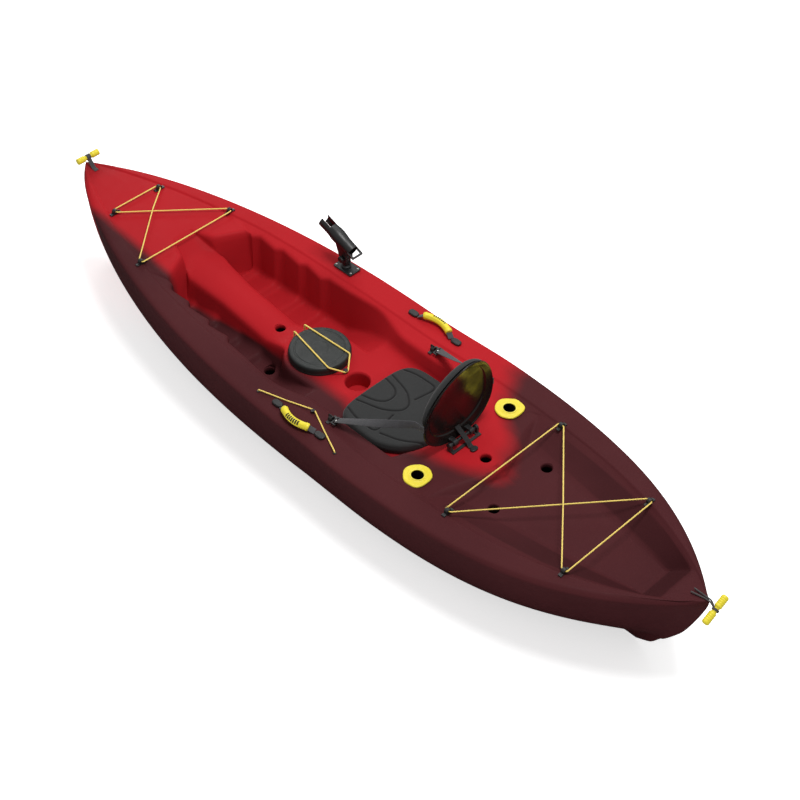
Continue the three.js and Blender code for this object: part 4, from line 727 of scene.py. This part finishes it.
def make_hull():
    """The moulding's skin with its bores cut out, and the colour and shade fields on its points."""
    rings = hull_points()
    skin = new_mesh("hull_skin", rings.reshape(-1, 3), [net(*rings.shape[:2], True)])
    skin = linked("hull_skin", merged(skin))
    tools, first = [], 0
    for bore in BORES:
        points, faces = bore_tool(*bore)
        tools.append((points, faces + first))
        first += len(points)
    bores = new_mesh("bores", np.vstack([points for points, _ in tools]), [faces for _, faces in tools])
    tool = linked("bores", merged(bores, MERGE / 2))
    cut = skin.modifiers.new("bores", "BOOLEAN")
    cut.operation = "DIFFERENCE"
    cut.solver = "EXACT"
    cut.object = tool
    whole = bpy.data.meshes.new_from_object(skin.evaluated_get(bpy.context.evaluated_depsgraph_get()))
    for obj in (skin, tool):
        bpy.data.objects.remove(obj)
    spots = np.empty(len(whole.vertices) * 3, np.float32)
    whole.vertices.foreach_get("co", spots)
    spots = spots.reshape(-1, 3).astype(float) / MM
    # tone is the moulding's red and maroon; bore is painted shade.
    for key, values in (("tone", tone_field(spots)), ("bore", bore_shade(spots))):
        whole.attributes.new(key, "FLOAT", "POINT").data.foreach_set("value", values.astype(np.float32))
    whole.name = "hull_moulding"
    finished("hull_moulding", merged(whole, outwards=False), HULL, "kayak", 40, "hull")


def level(node):
    """The height in millimetres that a CAD piece stands on."""
    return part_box(node)[0][2] / MM


def spun(name, profile, where, look, sides, body="kayak", athwart=False, radius=0.8, node=None, tilt=0.0):
    """A profile of (distance from the axis, height) turned about an axis through where, upright or athwart."""
    p = lathe(soften(profile, radius, 4), sides)
    if athwart:
        p = rocked(p[..., [0, 2, 1]], tilt, 1, 2)
    tube_wall(name, p + np.asarray(where, float), look, body, 32, node=node)


# Deck fittings

BOW_EYES = [(1215, 106), (927, 213)]
STERN_EYES = [(-695, 272), (-1128, 205)]
EYE_TOP, EYE_HALF = 11.6, 10.1


def deck_cord(name, front, rear):
    """Shock cord in a figure of eight round four pad eyes."""
    spots = {"front": front, "rear": rear}
    z = {(w, side): level(f"{name}_pad_eye_{w}_{label}") + EYE_TOP
         for w in spots for label, side in SIDES}

    def at(where, side, ahead, dy=0.0):
        return [spots[where][0] + ahead * EYE_HALF, side * spots[where][1] + dy, z[where, side]]

    share = front[1] / (front[1] + rear[1])
    middle = [front[0] + (rear[0] - front[0]) * share, 0, max(z["front", 1], z["rear", 1]) + 6]
    points = [
        at("front", 1, 1, -12), at("front", 1, 1), at("front", 1, -1), at("rear", -1, 1),
        at("rear", -1, -1), at("rear", 1, -1), at("rear", 1, 1), middle,
        at("front", -1, -1), at("front", -1, 1), at("front", 1, 1, -13),
    ]
    cord_piece(f"{name}_cord_braid", soften(points, 6, 6), CORD_R, CORD, "kayak", f"{name}_cord")
    for where in spots:
        for label, _ in SIDES:
            refined(f"{name}_pad_eye_{where}_{label}", 0.9)


def stud_piece(name, node, radius, where):
    """A stud with a foot, a neck and a wider head."""
    profile = np.array([[0, 0], [2.6, 0], [2.6, 1], [1, 1], [1, 2.3], [3, 2.3], [3, 4.2], [0, 4.2]])
    spun(name, profile * radius, where, BLACK, 32, radius=0.7, node=node)


def hatch():
    """Cover with a raised rim step and fine rings, its bucket, and the cord that holds it down."""
    seat, thick, cord_r = CONSOLE_Z + GAP, 33, 3
    cover = [[0, 29], [100, 29], [109, 22], [109, 0], [113, 0], [113, 7], [111.6, 8.2], [113, 9.4], [113, 22],
             [110, 30.5], [104, 33], [93, 33], [91.5, 31.6], [88, 31.6], [86.5, 33], [34, 33], [32.5, 32.2],
             [30, 32.2], [28.5, 33], [0, 33]]
    rounding = [0, 6, 5, 0.6, 0.6, 0.5, 0.5, 0.5, 5, 4, 4, 1, 0.8, 0.8, 1, 0.8, 0.6, 0.6, 0.8, 0]
    spun("hatch_cover_moulding", cover, (HATCH_X, 0, seat), COVER, 128, "hatch_lid", radius=rounding,
         node="hatch_cover")
    bucket = [[0, -150], [85.4, -150], [97.4, -1], [97.4, 0], [107, 0], [107, 3], [94.4, 3], [82.4, -147],
              [0, -147]]
    spun("hatch_bucket_moulding", bucket, (HATCH_X, 0, seat), BLACK, 72, radius=1, node="hatch_bucket")
    stud_x, hook_z = 68, seat + 2.6 * cord_r

    def foot(side):
        return [HATCH_X + 113 + 12, side * 25 - 16, seat]

    def run(side):
        low = np.array(foot(side)) + [0, 0, cord_r + GAP]
        return [low, low + [0, 0, thick], [99, side * 52, low[2] + thick]]

    points = [*run(-1), [stud_x - 6.3, -6.3, hook_z], [stud_x - 6.3, 6.3, hook_z], *run(1)[::-1]]
    braid = cord_piece("hatch_cord_braid", soften(points, 7, 8), cord_r, CORD, None, "hatch_cord")
    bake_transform(braid)
    stud_piece("hatch_cord_stud", "hatch_cord_hook", cord_r, (stud_x, 0, seat))
    for label, side in SIDES:
        spun(f"hatch_cord_washer_{label}", [[0, 0], [6, 0], [6, 3], [0, 3]], foot(side), BLACK, 28,
             node=f"hatch_cord_anchor_{label}")


# Carry handles and the paddle keeper

KEEPER_EYES, KEEPER_STUD = {"front": (146, 332), "rear": (-246, 344)}, (-53, 263.3)
HANDLE_X, HANDLE_Y, HANDLE_HALF, HANDLE_RISE = -50.0, 326.0, 81.2, 4.5
GRIP_HALF, GRIP_R, GRIP_BOW, GRIP_LIFT, COLLAR_AT = 62.0, 13.5, 24.0, 12.0, 55.0
SLOT_COUNT, SLOT_PITCH, SLOT_WIDTH, SLOT_SPREAD, SLOT_DEPTH = 7, 8.5, 5.0, 0.85, 2.6


def grip_slots(u, a, aim):
    """1 in a row of slots across the side of a grip that faces aim."""
    off = np.abs((u / SLOT_PITCH + 0.5) % 1 - 0.5) * SLOT_PITCH
    along = (np.abs(u) < SLOT_COUNT * SLOT_PITCH / 2) * np.clip(1.4 - off * 2 / SLOT_WIDTH, 0, 1) * 2
    turn = np.clip((SLOT_SPREAD - np.abs((a - aim + np.pi) % TAU - np.pi)) * 8, 0, 1)
    return np.clip(along, 0, 1) * turn


def carry_handle(label, side):
    """A bowed grip with slots and end collars on a strap between two brackets."""
    ends = np.array([
        [HANDLE_X + ahead * HANDLE_HALF, side * HANDLE_Y, level(f"handle_bracket_{w}_{label}") + HANDLE_RISE]
        for w, ahead in FRONT_REAR])
    run = np.linalg.norm(ends[0] - ends[1])
    u = np.linspace(-GRIP_HALF, GRIP_HALF, 120)[:, None]
    share = 0.5 + u / run
    lift = np.sin(np.pi * share)
    path = ends[0] + (ends[1] - ends[0]) * share
    path = path + lift * [0, side * GRIP_BOW, 0] + [0, 0, GRIP_LIFT] * np.minimum(1, lift / 0.37)
    a, c, s = around(56)
    across, up = frames(path, (0, 1, 0))
    out = np.abs(u)
    end_round = GRIP_R * (1 - span(out, GRIP_HALF - 2.5, GRIP_HALF) ** 2 * 0.16)
    collar = 1.1 * np.clip(1 - np.abs(out - COLLAR_AT) / 5, 0, 1) ** 0.5
    slots = grip_slots(u, a, np.arctan2(0.8 * np.sign(up[60, 2]), side * 0.6))
    r = (end_round - 0.7 + collar - SLOT_DEPTH * slots + 0.35 * np.cos(a * 6) * (out < 50))[..., None]
    points = path[:, None] + r * (c[:, None] * across[:, None] + s[:, None] * up[:, None])
    # The slots are also painted dark, for the shade in them.
    tube_wall(f"handle_grip_moulding_{label}", points, GRIP, f"handle_{label}", 50, {"painted_shade": slots.ravel()},
              f"handle_grip_{label}")
    reach = soften(np.vstack([ends[:1], path[::6], ends[1:]]), 4, 4)
    half = len(reach) // 2
    for where, strip, k in (("front", reach[:half + 1], 0), ("rear", reach[half:], -1)):
        strap = strap_piece(f"handle_webbing_{where}_{label}", strip, 22, (0, 1, 0), f"handle_strap_{label}")
        bend(strap)
        refined(f"handle_bracket_{where}_{label}")


def keeper():
    """Shock cord along the port gunwale, inboard of the handle and round a stud."""
    stud_z = level("paddle_keeper_hook")
    turn = np.array([KEEPER_STUD[0], KEEPER_STUD[1] - 5.3, stud_z + 6.5])

    def half(where, ahead):
        foot = np.array([*KEEPER_EYES[where], level(f"paddle_keeper_eyelet_{where}")])
        middle = (foot + turn) / 2
        middle[2] = deck_top(middle[:1], middle[1:2] - 7)[0] + 3.4
        return [foot, foot + [0, 0, 8], middle, turn + [ahead * 5, 0, 0]]

    path = [*half("front", 1), *half("rear", -1)[::-1]]
    cord_piece("keeper_cord_braid", soften(path, 6, 7), CORD_R, CORD, "kayak", "paddle_keeper_cord")
    stud_piece("keeper_stud", "paddle_keeper_hook", CORD_R, (*KEEPER_STUD, stud_z))
    for where in KEEPER_EYES:
        refined(f"paddle_keeper_eyelet_{where}", 0.4)


# Toggles

TOGGLE_R = 12.5
WAIST_R = TOGGLE_R * 0.68
BOW_TOGGLE, STERN_TOGGLE = np.array([1512.0, 0, 434.0]), np.array([-1551.0, 0, 376.0])
STERN_TILT = -0.45


def toggle(name, length, ring, where, tilt=0.0):
    """A turned grip with a waist and shallow finger rings."""
    h, r = length / 2, TOGGLE_R
    ribs = []
    for k in range(4):
        ribs += [[r - d, ring + 6 + k * 7.0 + e] for d, e in ((0, 0), (0.9, 1.2), (0.9, 2.4), (0, 3.6))]
    side = [[WAIST_R, ring - 4], [r, ring], *ribs, [r, h - 5], [r * 0.7, h], [0, h]]
    profile = [[p, -q] for p, q in side[::-1]] + side
    radius = [0, 3, 4, *[0.8] * 16, 2, 3]
    spun(f"{name}_toggle_moulding", profile, where, GRIP, 56, f"{name}_toggle", True, radius + radius[::-1],
         f"{name}_toggle_grip", tilt)


def waist_band(name, where, width, thick, look, tilt=0.0):
    """The band of a toggle's strap or rope round its waist."""
    low, high = WAIST_R + GAP, WAIST_R + GAP + thick
    band = [[low, -width / 2], [high, -width / 2], [high, width / 2], [low, width / 2]]
    band = soften(band, min(0.8, thick / 2.2), 3, True)
    p = rocked(lathe(np.vstack([band, band[:1]]), 40)[..., [0, 2, 1]], tilt, 1, 2) + where
    tube_wall(f"{name}_toggle_band", p, look, f"{name}_toggle", 50, {"run": p * MM}, open_ends=True)


def short_of(start, goal, gap):
    """The place on the way from start to a toggle at goal that is a gap short of its waist."""
    way = goal - start
    return start + way * (1 - (WAIST_R + gap) / np.linalg.norm(way))


def toggles():
    """Bow toggle on a strap and stern toggle on two rope lines, each bending where it leaves the deck."""
    start = np.array([1462, 0, level("bow_toggle_strap") + STRAP_T / 2])
    toggle("bow", 100, 18, BOW_TOGGLE)
    path = soften([start, start + [18, 0, 0], short_of(start, BOW_TOGGLE, 1.5)], 10, 8)
    strap = strap_piece("bow_toggle_webbing", path, 18, (0, 1, 0), "bow_toggle_strap")
    bend(strap)
    waist_band("bow", BOW_TOGGLE, 18, STRAP_T, WEBBING)
    toggle("stern", 108, 12.5, STERN_TOGGLE, STERN_TILT)
    for label, side in SIDES:
        exit_at, over = [np.array([x, side * y, sheer_z(x) + 5 + rise])
                         for x, y, rise in ((-1462.0, 9.0, 2.5), (-1513.5, 3.6, 4.0))]
        off = over + [-16.5, 0, 0]
        path = soften([exit_at, over, off, short_of(off, STERN_TOGGLE, CORD_R + 0.25)], 12, 8)
        node = "stern_toggle_rope" if side > 0 else None
        line = cord_piece(f"stern_toggle_line_{label}", path, CORD_R, ROPE, None, node)
        bend(line)
    waist_band("stern", STERN_TOGGLE, 7.5, 3.5, ROPE, STERN_TILT)


def flush_holder(label, side):
    """A flange shaped by a smooth outline and the raked tube in it, cut level just above it."""
    outline = np.array([[47, 16], [17, 46], [-16, 48], [-37, 39], [-46, 12], [-40, -29], [-7, -49], [28, -40],
                        [47, -14]]) * [1, side]
    curve = spline(np.vstack([outline[-2:], outline, outline[:2]]), 24)
    angle = np.unwrap(np.arctan2(curve[:, 1], curve[:, 0]))
    if angle[-1] < angle[0]:
        angle, curve = angle[::-1], curve[::-1]
    count = 144
    a, c, s = around(count)
    a = a + TAU * np.ceil((angle[0] - a) / TAU)
    far = np.interp(a, angle, np.hypot(curve[:, 0], curve[:, 1]))
    z = level(f"flush_rod_holder_flange_{label}")
    top, low, inner, tube = z + 5, 150, 21, 25
    rim = top + 1.5

    def hole(radius, height):
        aft = np.tan(FLUSH_RAKE) * (height - DECK_Z)
        return np.stack([radius / np.cos(FLUSH_RAKE) * c - aft, radius * s], -1)

    def out(inset):
        return np.stack([(far - inset) * c, (far - inset) * s], -1)

    def ring(plan, height):
        return np.concatenate([plan + [FLUSH_X, side * FLUSH_Y], np.full((count, 1), float(height))], 1)

    rows = [ring(plan, height) for plan, height in (
        (hole(25.3, z), z), (hole(25.3, top - 0.8), top - 0.8), (hole(26.2, top), top), (hole(30, top), top),
        (hole(31, top - 0.7), top - 0.7), (out(9) * 0.5 + hole(31, top) * 0.5, top - 0.5), (out(7), top - 0.2),
        (out(3.4), top), (out(1.7), top - 0.5), (out(0.5), top - 1.6), (out(0), top - 3.2), (out(0), z),
        (hole(25.3, z), z),
    )]
    tube_wall(f"flush_flange_moulding_{label}", rows, YELLOW, "kayak", 40,
              node=f"flush_rod_holder_flange_{label}", open_ends=True)
    rows = [ring(hole(radius, height), height) for radius, height in (
        (0.01, low), (tube, low), (tube, rim - 1), (tube - 0.8, rim), (inner + 0.8, rim), (inner, rim - 1),
        (inner, rim - 2.5), (inner, rim - 5), (inner, low + 4), (0.01, low + 4),
    )]
    # Painted shade: the tube's inner wall from about 5 mm below its rim, and its floor, are painted dark.
    inside = np.repeat([0] * 7 + [1] * 3, count)
    tube_wall(f"flush_tube_moulding_{label}", rows, GRIP, "kayak", 40, {"painted_shade": inside},
              f"flush_rod_holder_tube_{label}", open_ends=True)


def rod_holder():
    """Plate, domed screws with a round pit, post, open cradle with a rear loop, and a fluted knob."""
    x, y, bolt_z = 402, -322, 405
    refined("rod_holder_plate")
    z = level("rod_holder_screw_front_port")
    screw = [[0, 0], [4.6, 0], [4.6, 0.8], [3.4, 2.1], [1.3, 2.7], [1.2, 1.5], [0, 1.5]]
    for where, ahead in FRONT_REAR:
        for label, side in SIDES:
            spun(f"plate_screw_{where}_{label}", screw, (x - 5 + ahead * 37.5, y + side * 18, z), STEEL,
                 32, radius=0.5, node=f"rod_holder_screw_{where}_{label}")
    refined("rod_holder_post", body="rod_post")
    refined("rod_holder_cradle", body="rod_cradle")
    a, c, s = around(96)
    flute = 1 - 0.09 * (0.5 + 0.5 * np.cos(8 * a)) ** 2
    profile = soften([[0, 0], [9, 0], [13, 4], [13, 11], [11, 13], [0, 13]], 1.5, 5)
    r = profile[:, :1] * np.where(profile[:, :1] > 8, flute, 1)
    knob_y = y + 11 + 7 + 2 * GAP
    rings = np.stack([x + r * c, knob_y + profile[:, 1:] + 0 * c, bolt_z + r * s], -1)
    tube_wall("cradle_knob", rings, BLACK, "rod_cradle", 40, node="rod_holder_knob")
    spun("cradle_bolt", [[0, -36], [4, -36], [4, 0], [0, 0]], (x, knob_y, bolt_z), STEEL, 24, "rod_cradle",
         True, 0.5)


# Seat

PAD_X, PAD_FRONT, PAD_REAR, PAD_HALF = -232.0, 168.0, 172.0, 186.0
GROOVES = [
    [[-76, 58], [-133, 46], [-160, 24], [-166, 0], [-160, -24], [-133, -46], [-76, -58]],
    [[-81, 86], [-178, 62], [-226, 26], [-236, 0], [-226, -26], [-178, -62], [-81, -86]],
    [[-88, 134], [-140, 149], [-238, 151], [-224, 54]],
    [[-253, 142], [-325, 119], [-386, 72]],
]


def square_grid(count):
    """Points of a square grid as (direction on the unit square, share of the way out)."""
    a = np.linspace(-1, 1, count)
    a = np.sign(a) * (1 - (1 - np.abs(a)) ** 1.15)
    u, v = np.meshgrid(a, a, indexing="ij")
    share = np.maximum(np.abs(u), np.abs(v))
    safe = np.maximum(share, 1e-9)
    return u / safe, v / safe, share


def border(count):
    """Indices round the edge of a square grid, in turn."""
    n, last = np.arange(count), count - 1
    return np.concatenate([n[:-1] * count, last * count + n[:-1], n[:0:-1] * count + last, n[:0:-1]])


def skirt(count, first, loops):
    """Quads from the edge of a square grid down loops of points numbered from first, and the last loop."""
    rim = border(count)
    ring = np.vstack([rim, np.arange(loops * len(rim)).reshape(loops, -1) + first])
    after = np.roll(ring, -1, 1)
    return np.stack([ring[:-1], after[:-1], after[1:], ring[1:]], -1).reshape(-1, 4), ring[-1:]


def rolled(share, start):
    """How far the surface drops, from 0 at start to 1 at the edge, along a quarter circle."""
    return 1 - np.sqrt(1 - span(share, start, 1) ** 2)


def near_line(points, lines):
    """Distance of each plan point to the nearest of several polylines."""
    best = np.full(len(points), 1e9)
    for line in lines:
        a, b = line[:-1], line[1:]
        run = b - a
        t = np.clip(((points[:, None] - a) * run).sum(-1) / (run ** 2).sum(-1), 0, 1)
        gap = np.linalg.norm(points[:, None] - (a + t[..., None] * run), axis=-1)
        best = np.minimum(best, gap.min(1))
    return best


def seat_pad():
    """Contoured foam pad: a superellipse plan, crowned top, rolled edge and pressed grooves."""
    count, top_share = 190, 0.985
    du, dv, share = square_grid(count)
    power = np.where(du > 0, 4.6, 2.0)
    size = (np.abs(du) ** power + np.abs(dv) ** power) ** (1 / power)
    x = PAD_X + share * top_share * np.where(du > 0, PAD_FRONT, PAD_REAR) * du / size
    y = share * top_share * PAD_HALF * dv / size
    low = level("seat_pad")
    lines = []
    for groove in GROOVES:
        line = soften(groove, 30, 6)
        lines.append(line)
        if not (line[:, 1] < 0).any():
            lines.append(line * [1, -1])
    near = near_line(np.stack([x.ravel(), y.ravel()], 1), lines).reshape(x.shape)
    groove = np.exp(-((near / 4.0) ** 2))
    dip = 3.2 * np.exp(-(((x + 225) / 110) ** 2 + ((np.abs(y) - 88) / 62) ** 2))
    z = low + 38 + 7 * (1 - share ** 2) - dip - 4.6 * groove - 9 * rolled(share, 0.93)
    top = np.stack([x, y, z], -1).reshape(-1, 3)
    loop = top[border(count)]
    rows = []
    for wide, height in ((0.997, 25), (1.0, 17), (0.998, 9), (0.985, 3), (0.965, 0)):
        row = (loop - [PAD_X, 0, 0]) * (wide / top_share) + [PAD_X, 0, 0]
        row[:, 2] = low + height
        rows.append(row)
    sides, last = skirt(count, len(top), len(rows))
    # Painted shade for the grooves, from their depth profile.
    painted_shade = np.concatenate([np.clip(groove * 1.3 - 0.2, 0, 1).ravel(), np.zeros(len(loop) * len(rows))])
    pad = build("seat_pad_foam", np.vstack([top, *rows]), [net(count, count), sides, last], FOAM, "kayak",
                60, {"groove": painted_shade}, "seat_pad")


BACK_X, BACK_Z, BACK_HALF, BACK_WIDE, BACK_TAPER = -485.0, 345.0, 172.5, 155.0, 0.3
BACK_WIDEST, BACK_POWER, PIN_X, PIN_Z = 162.0, 2.1, -500.0, 354.0
CUSHION_X, CUSHION_UP = 8.5, 0.128


def back_point(u, v, offset):
    """The backrest's middle surface: u across and v up as shares of its half width and half height.

    Egg-shaped, narrower to the top, leaning back a tenth, its sides carried forward and its middle dished.
    """
    y, h = BACK_WIDE * u * (1 - BACK_TAPER * v), BACK_HALF * (1 + v)
    full = np.minimum(1, np.hypot(u, v))
    x = BACK_X - 0.1 * h + 19.5 * u ** 2 + 26 * (1 - full ** 4) + offset
    return np.stack([x, y, BACK_Z + h], -1)


def backrest():
    """Gloss shell with a rolled rim and a shallow step, its foam cushion, hinge, pin and straps."""
    cu, cv = [np.sign(v) * np.abs(v) ** (2 / BACK_POWER) for v in around(240)[1:]]
    rear = np.r_[np.linspace(0, 0.78, 30), 0.79, 0.8, 0.808, 0.815, 0.822, 0.83, 0.84, 0.87, 0.9, 0.93,
                 0.96, 0.968, 0.978, 0.99, 0.997]
    step = np.interp(rear, [0, 0.7, 0.79, 0.815, 0.83, 0.96, 0.975, 0.99, 1],
                     [2.8, 2.8, 3.3, 2.4, -0.9, -0.5, -1.3, -1.1, 0.8])
    front = np.r_[0.997, 0.985, np.linspace(0.96, 0, 26)]
    lip = np.interp(front, [0, 0.79, 0.83, 0.96, 0.985, 1], [6.7, 6.7, 4, 4, 4.2, 3.0])
    shares, offsets = np.r_[rear, 1.0, front], np.r_[step, 1.8, lip]
    rings = back_point(shares[:, None] * cu, shares[:, None] * cv, offsets[:, None])
    tube_wall("backrest_moulding", rings, SHELL, "seat_back", 50, node="backrest_shell", open_ends=True)
    _, c, s = around(64)
    upright = np.where(s > 0, 11, 6.6) / np.maximum(np.abs(s), 1e-6)
    ahead = np.minimum(24 / np.maximum(c, 1e-6), upright)
    far = np.where(c > 0, np.clip(ahead, 11, 27), 11)
    for label, side in SIDES:
        rows = [np.stack([PIN_X + radius * c, side * y + 0 * c, PIN_Z + radius * s], -1) for radius, y in (
            (6.3, 30), (far - 0.8, 30), (far, 30.8), (far, 47.2), (far - 0.8, 48), (6.3, 48), (6.3, 30),
        )]
        tube_wall(f"backrest_lug_{label}", rows, BLACK, "seat_back", 40, open_ends=True)
    pin = [[0, -69], [5, -69], [6, -68], [6, 68], [5, 69], [0, 69]]
    spun("backrest_pin", pin, (PIN_X, 0, PIN_Z), BLACK, 32, athwart=True, radius=0.4, node="backrest_hinge_pin")
    refined("backrest_hinge_bracket")
    cushion()
    rear_strap()


def cushion():
    """Foam panel on the shell's front face, rounded at its edge, with two shallow quilted bands."""
    count = 120
    du, dv, share = square_grid(count)
    size = (np.abs(du) ** BACK_POWER + np.abs(dv) ** BACK_POWER) ** (1 / BACK_POWER)
    u, v = share * du / size * 0.95, share * dv / size * 0.82
    h = CUSHION_UP + v
    bands = np.exp(-((h * 172 - 60) / 3.4) ** 2) + np.exp(-((h * 172 + 40) / 3.4) ** 2)
    bands = bands * (share < 0.93)
    thick = 22 - 14 * rolled(share, 0.86) - 3.2 * bands
    face = back_point(u, h, CUSHION_X + thick).reshape(-1, 3)
    back = back_point(u * 0.985, v * 0.985 + CUSHION_UP, CUSHION_X).reshape(-1, 3)
    rim = border(count)
    rows = [back_point(u.ravel()[rim], h.ravel()[rim], CUSHION_X + d) for d in (6, 2)] + [back[rim]]
    sides, _ = skirt(count, len(face), 3)
    # Painted shade in the two quilted bands.
    groove = np.concatenate([np.clip(bands, 0, 1).ravel(), np.zeros(3 * len(rim) + len(back))])
    faces = [net(count, count), sides, net(count, count, first=len(face) + 3 * len(rim))]
    pad = build("backrest_cushion_foam", np.vstack([face, *rows, back]), faces, FOAM, "seat_back", 60,
                {"groove": groove}, "backrest_cushion")


def rear_strap():
    """Strap from its anchor on the deck to the foot of the shell's rear face."""
    refined("rear_strap_anchor")
    foot = np.array([-542.0, 0, level("rear_strap_anchor") + 3.6])
    head = back_point(np.array(0.0), np.array(40 / BACK_HALF - 1), 2 * GAP)
    path = soften([foot, foot + [8, 0, 2.4], foot + [16, 0, 14], head], 6, 8)
    path = np.vstack([path[:-1], np.linspace(path[-2], path[-1], 12)[1:]])
    strap = strap_piece("rear_strap_webbing", path, 20, (0, 1, 0), "rear_strap", DARK_WEBBING)
    bend(strap)


def side_strap(label, side):
    """Pad eye, clip with a rivet, and the strap that turns on edge on its way to the backrest's rim."""
    refined(f"seat_pad_eye_{label}", 0.9)
    refined(f"seat_strap_clip_{label}", 0.6)
    width, clip = 27, np.array([-148, side * 244, level(f"seat_pad_eye_{label}") + 9.5])
    start = clip - [0, 0, 2.5]
    rise = start + [0, 0, 10]
    end = np.array([-480, side * (BACK_WIDEST + 2 * GAP + STRAP_T / 2), 485.0])
    turn = end + [width * 1.4, 0, 0]
    points = soften(np.vstack([start, [rise + (turn - rise) * t for t in np.linspace(0, 1, 7)], end]), 12, 5)
    length = lengths(points)
    share = np.linspace(0, 1, 90)
    path = np.stack([np.interp(share * length[-1], length, points[:, k]) for k in range(3)], 1)
    path[:, 2] -= np.sin(np.pi * span(share, 0.05, 0.85)) * 3
    t = np.minimum(share * 1.05, 1)[:, None]
    facing = np.array([0, -side, 0]) * (1 - t) + np.array([0, 0, 1.0]) * t
    strap = strap_piece(f"side_strap_webbing_{label}", path, width, facing, f"seat_strap_{label}")
    bend(strap)
    spun(f"strap_clip_rivet_{label}", [[0, 0], [4.2, 0], [3.6, 1.4], [1.6, 2.2], [0, 2.3]], clip + [1, 0, 5.1],
         STEEL, 28, radius=0.4)


def stage():
    """Pale floor and white surroundings, evenly lit from large soft lamps."""
    bpy.ops.mesh.primitive_circle_add(vertices=64, radius=30, fill_type="NGON", location=(0, 0, -0.002))
    floor = bpy.context.object
    floor.name = "studio_floor"
    g = Graph("studio_floor")
    rays = g.node("ShaderNodeLightPath").outputs
    floor.data.materials.append(g.set(
        Base_Color=g.mix(rays["Is Glossy Ray"], linear(250, 250, 250), linear(96, 96, 96)), Roughness=0.9,
        Specular_IOR_Level=0.0, Emission_Color=(1, 1, 1, 1),
        Emission_Strength=g.math("MULTIPLY", rays["Is Camera Ray"], 0.6),
    ))
    world = bpy.data.worlds.new("studio")
    bpy.context.scene.world = world
    world.use_nodes = True
    tree = world.node_tree
    seen = tree.nodes.new("ShaderNodeLightPath").outputs["Is Camera Ray"]
    level_node = tree.nodes.new("ShaderNodeMapRange")
    tree.links.new(seen, level_node.inputs["Value"])
    level_node.inputs["To Min"].default_value = 0.42
    level_node.inputs["To Max"].default_value = 1.1
    shade = tree.nodes["Background"]
    shade.inputs["Color"].default_value = (1, 1, 1, 1)
    tree.links.new(level_node.outputs[0], shade.inputs["Strength"])
    add_lamp("key", (-1.1, -0.3, 5.5), 2.0, 195)
    add_lamp("fill", (1.6, -3.0, 4.2), 3.0, 42)
    add_lamp("rim", (4.2, -2.2, 2.6), 1.4, 30)


place_camera()
stage()
make_hull()
deck_cord("bow", *BOW_EYES)
deck_cord("stern", *STERN_EYES)
hatch()
for label, side in SIDES:
    carry_handle(label, side)
    flush_holder(label, side)
    side_strap(label, side)
keeper()
toggles()
rod_holder()
seat_pad()
backrest()
bpy.context.scene.view_settings.view_transform = "Standard"
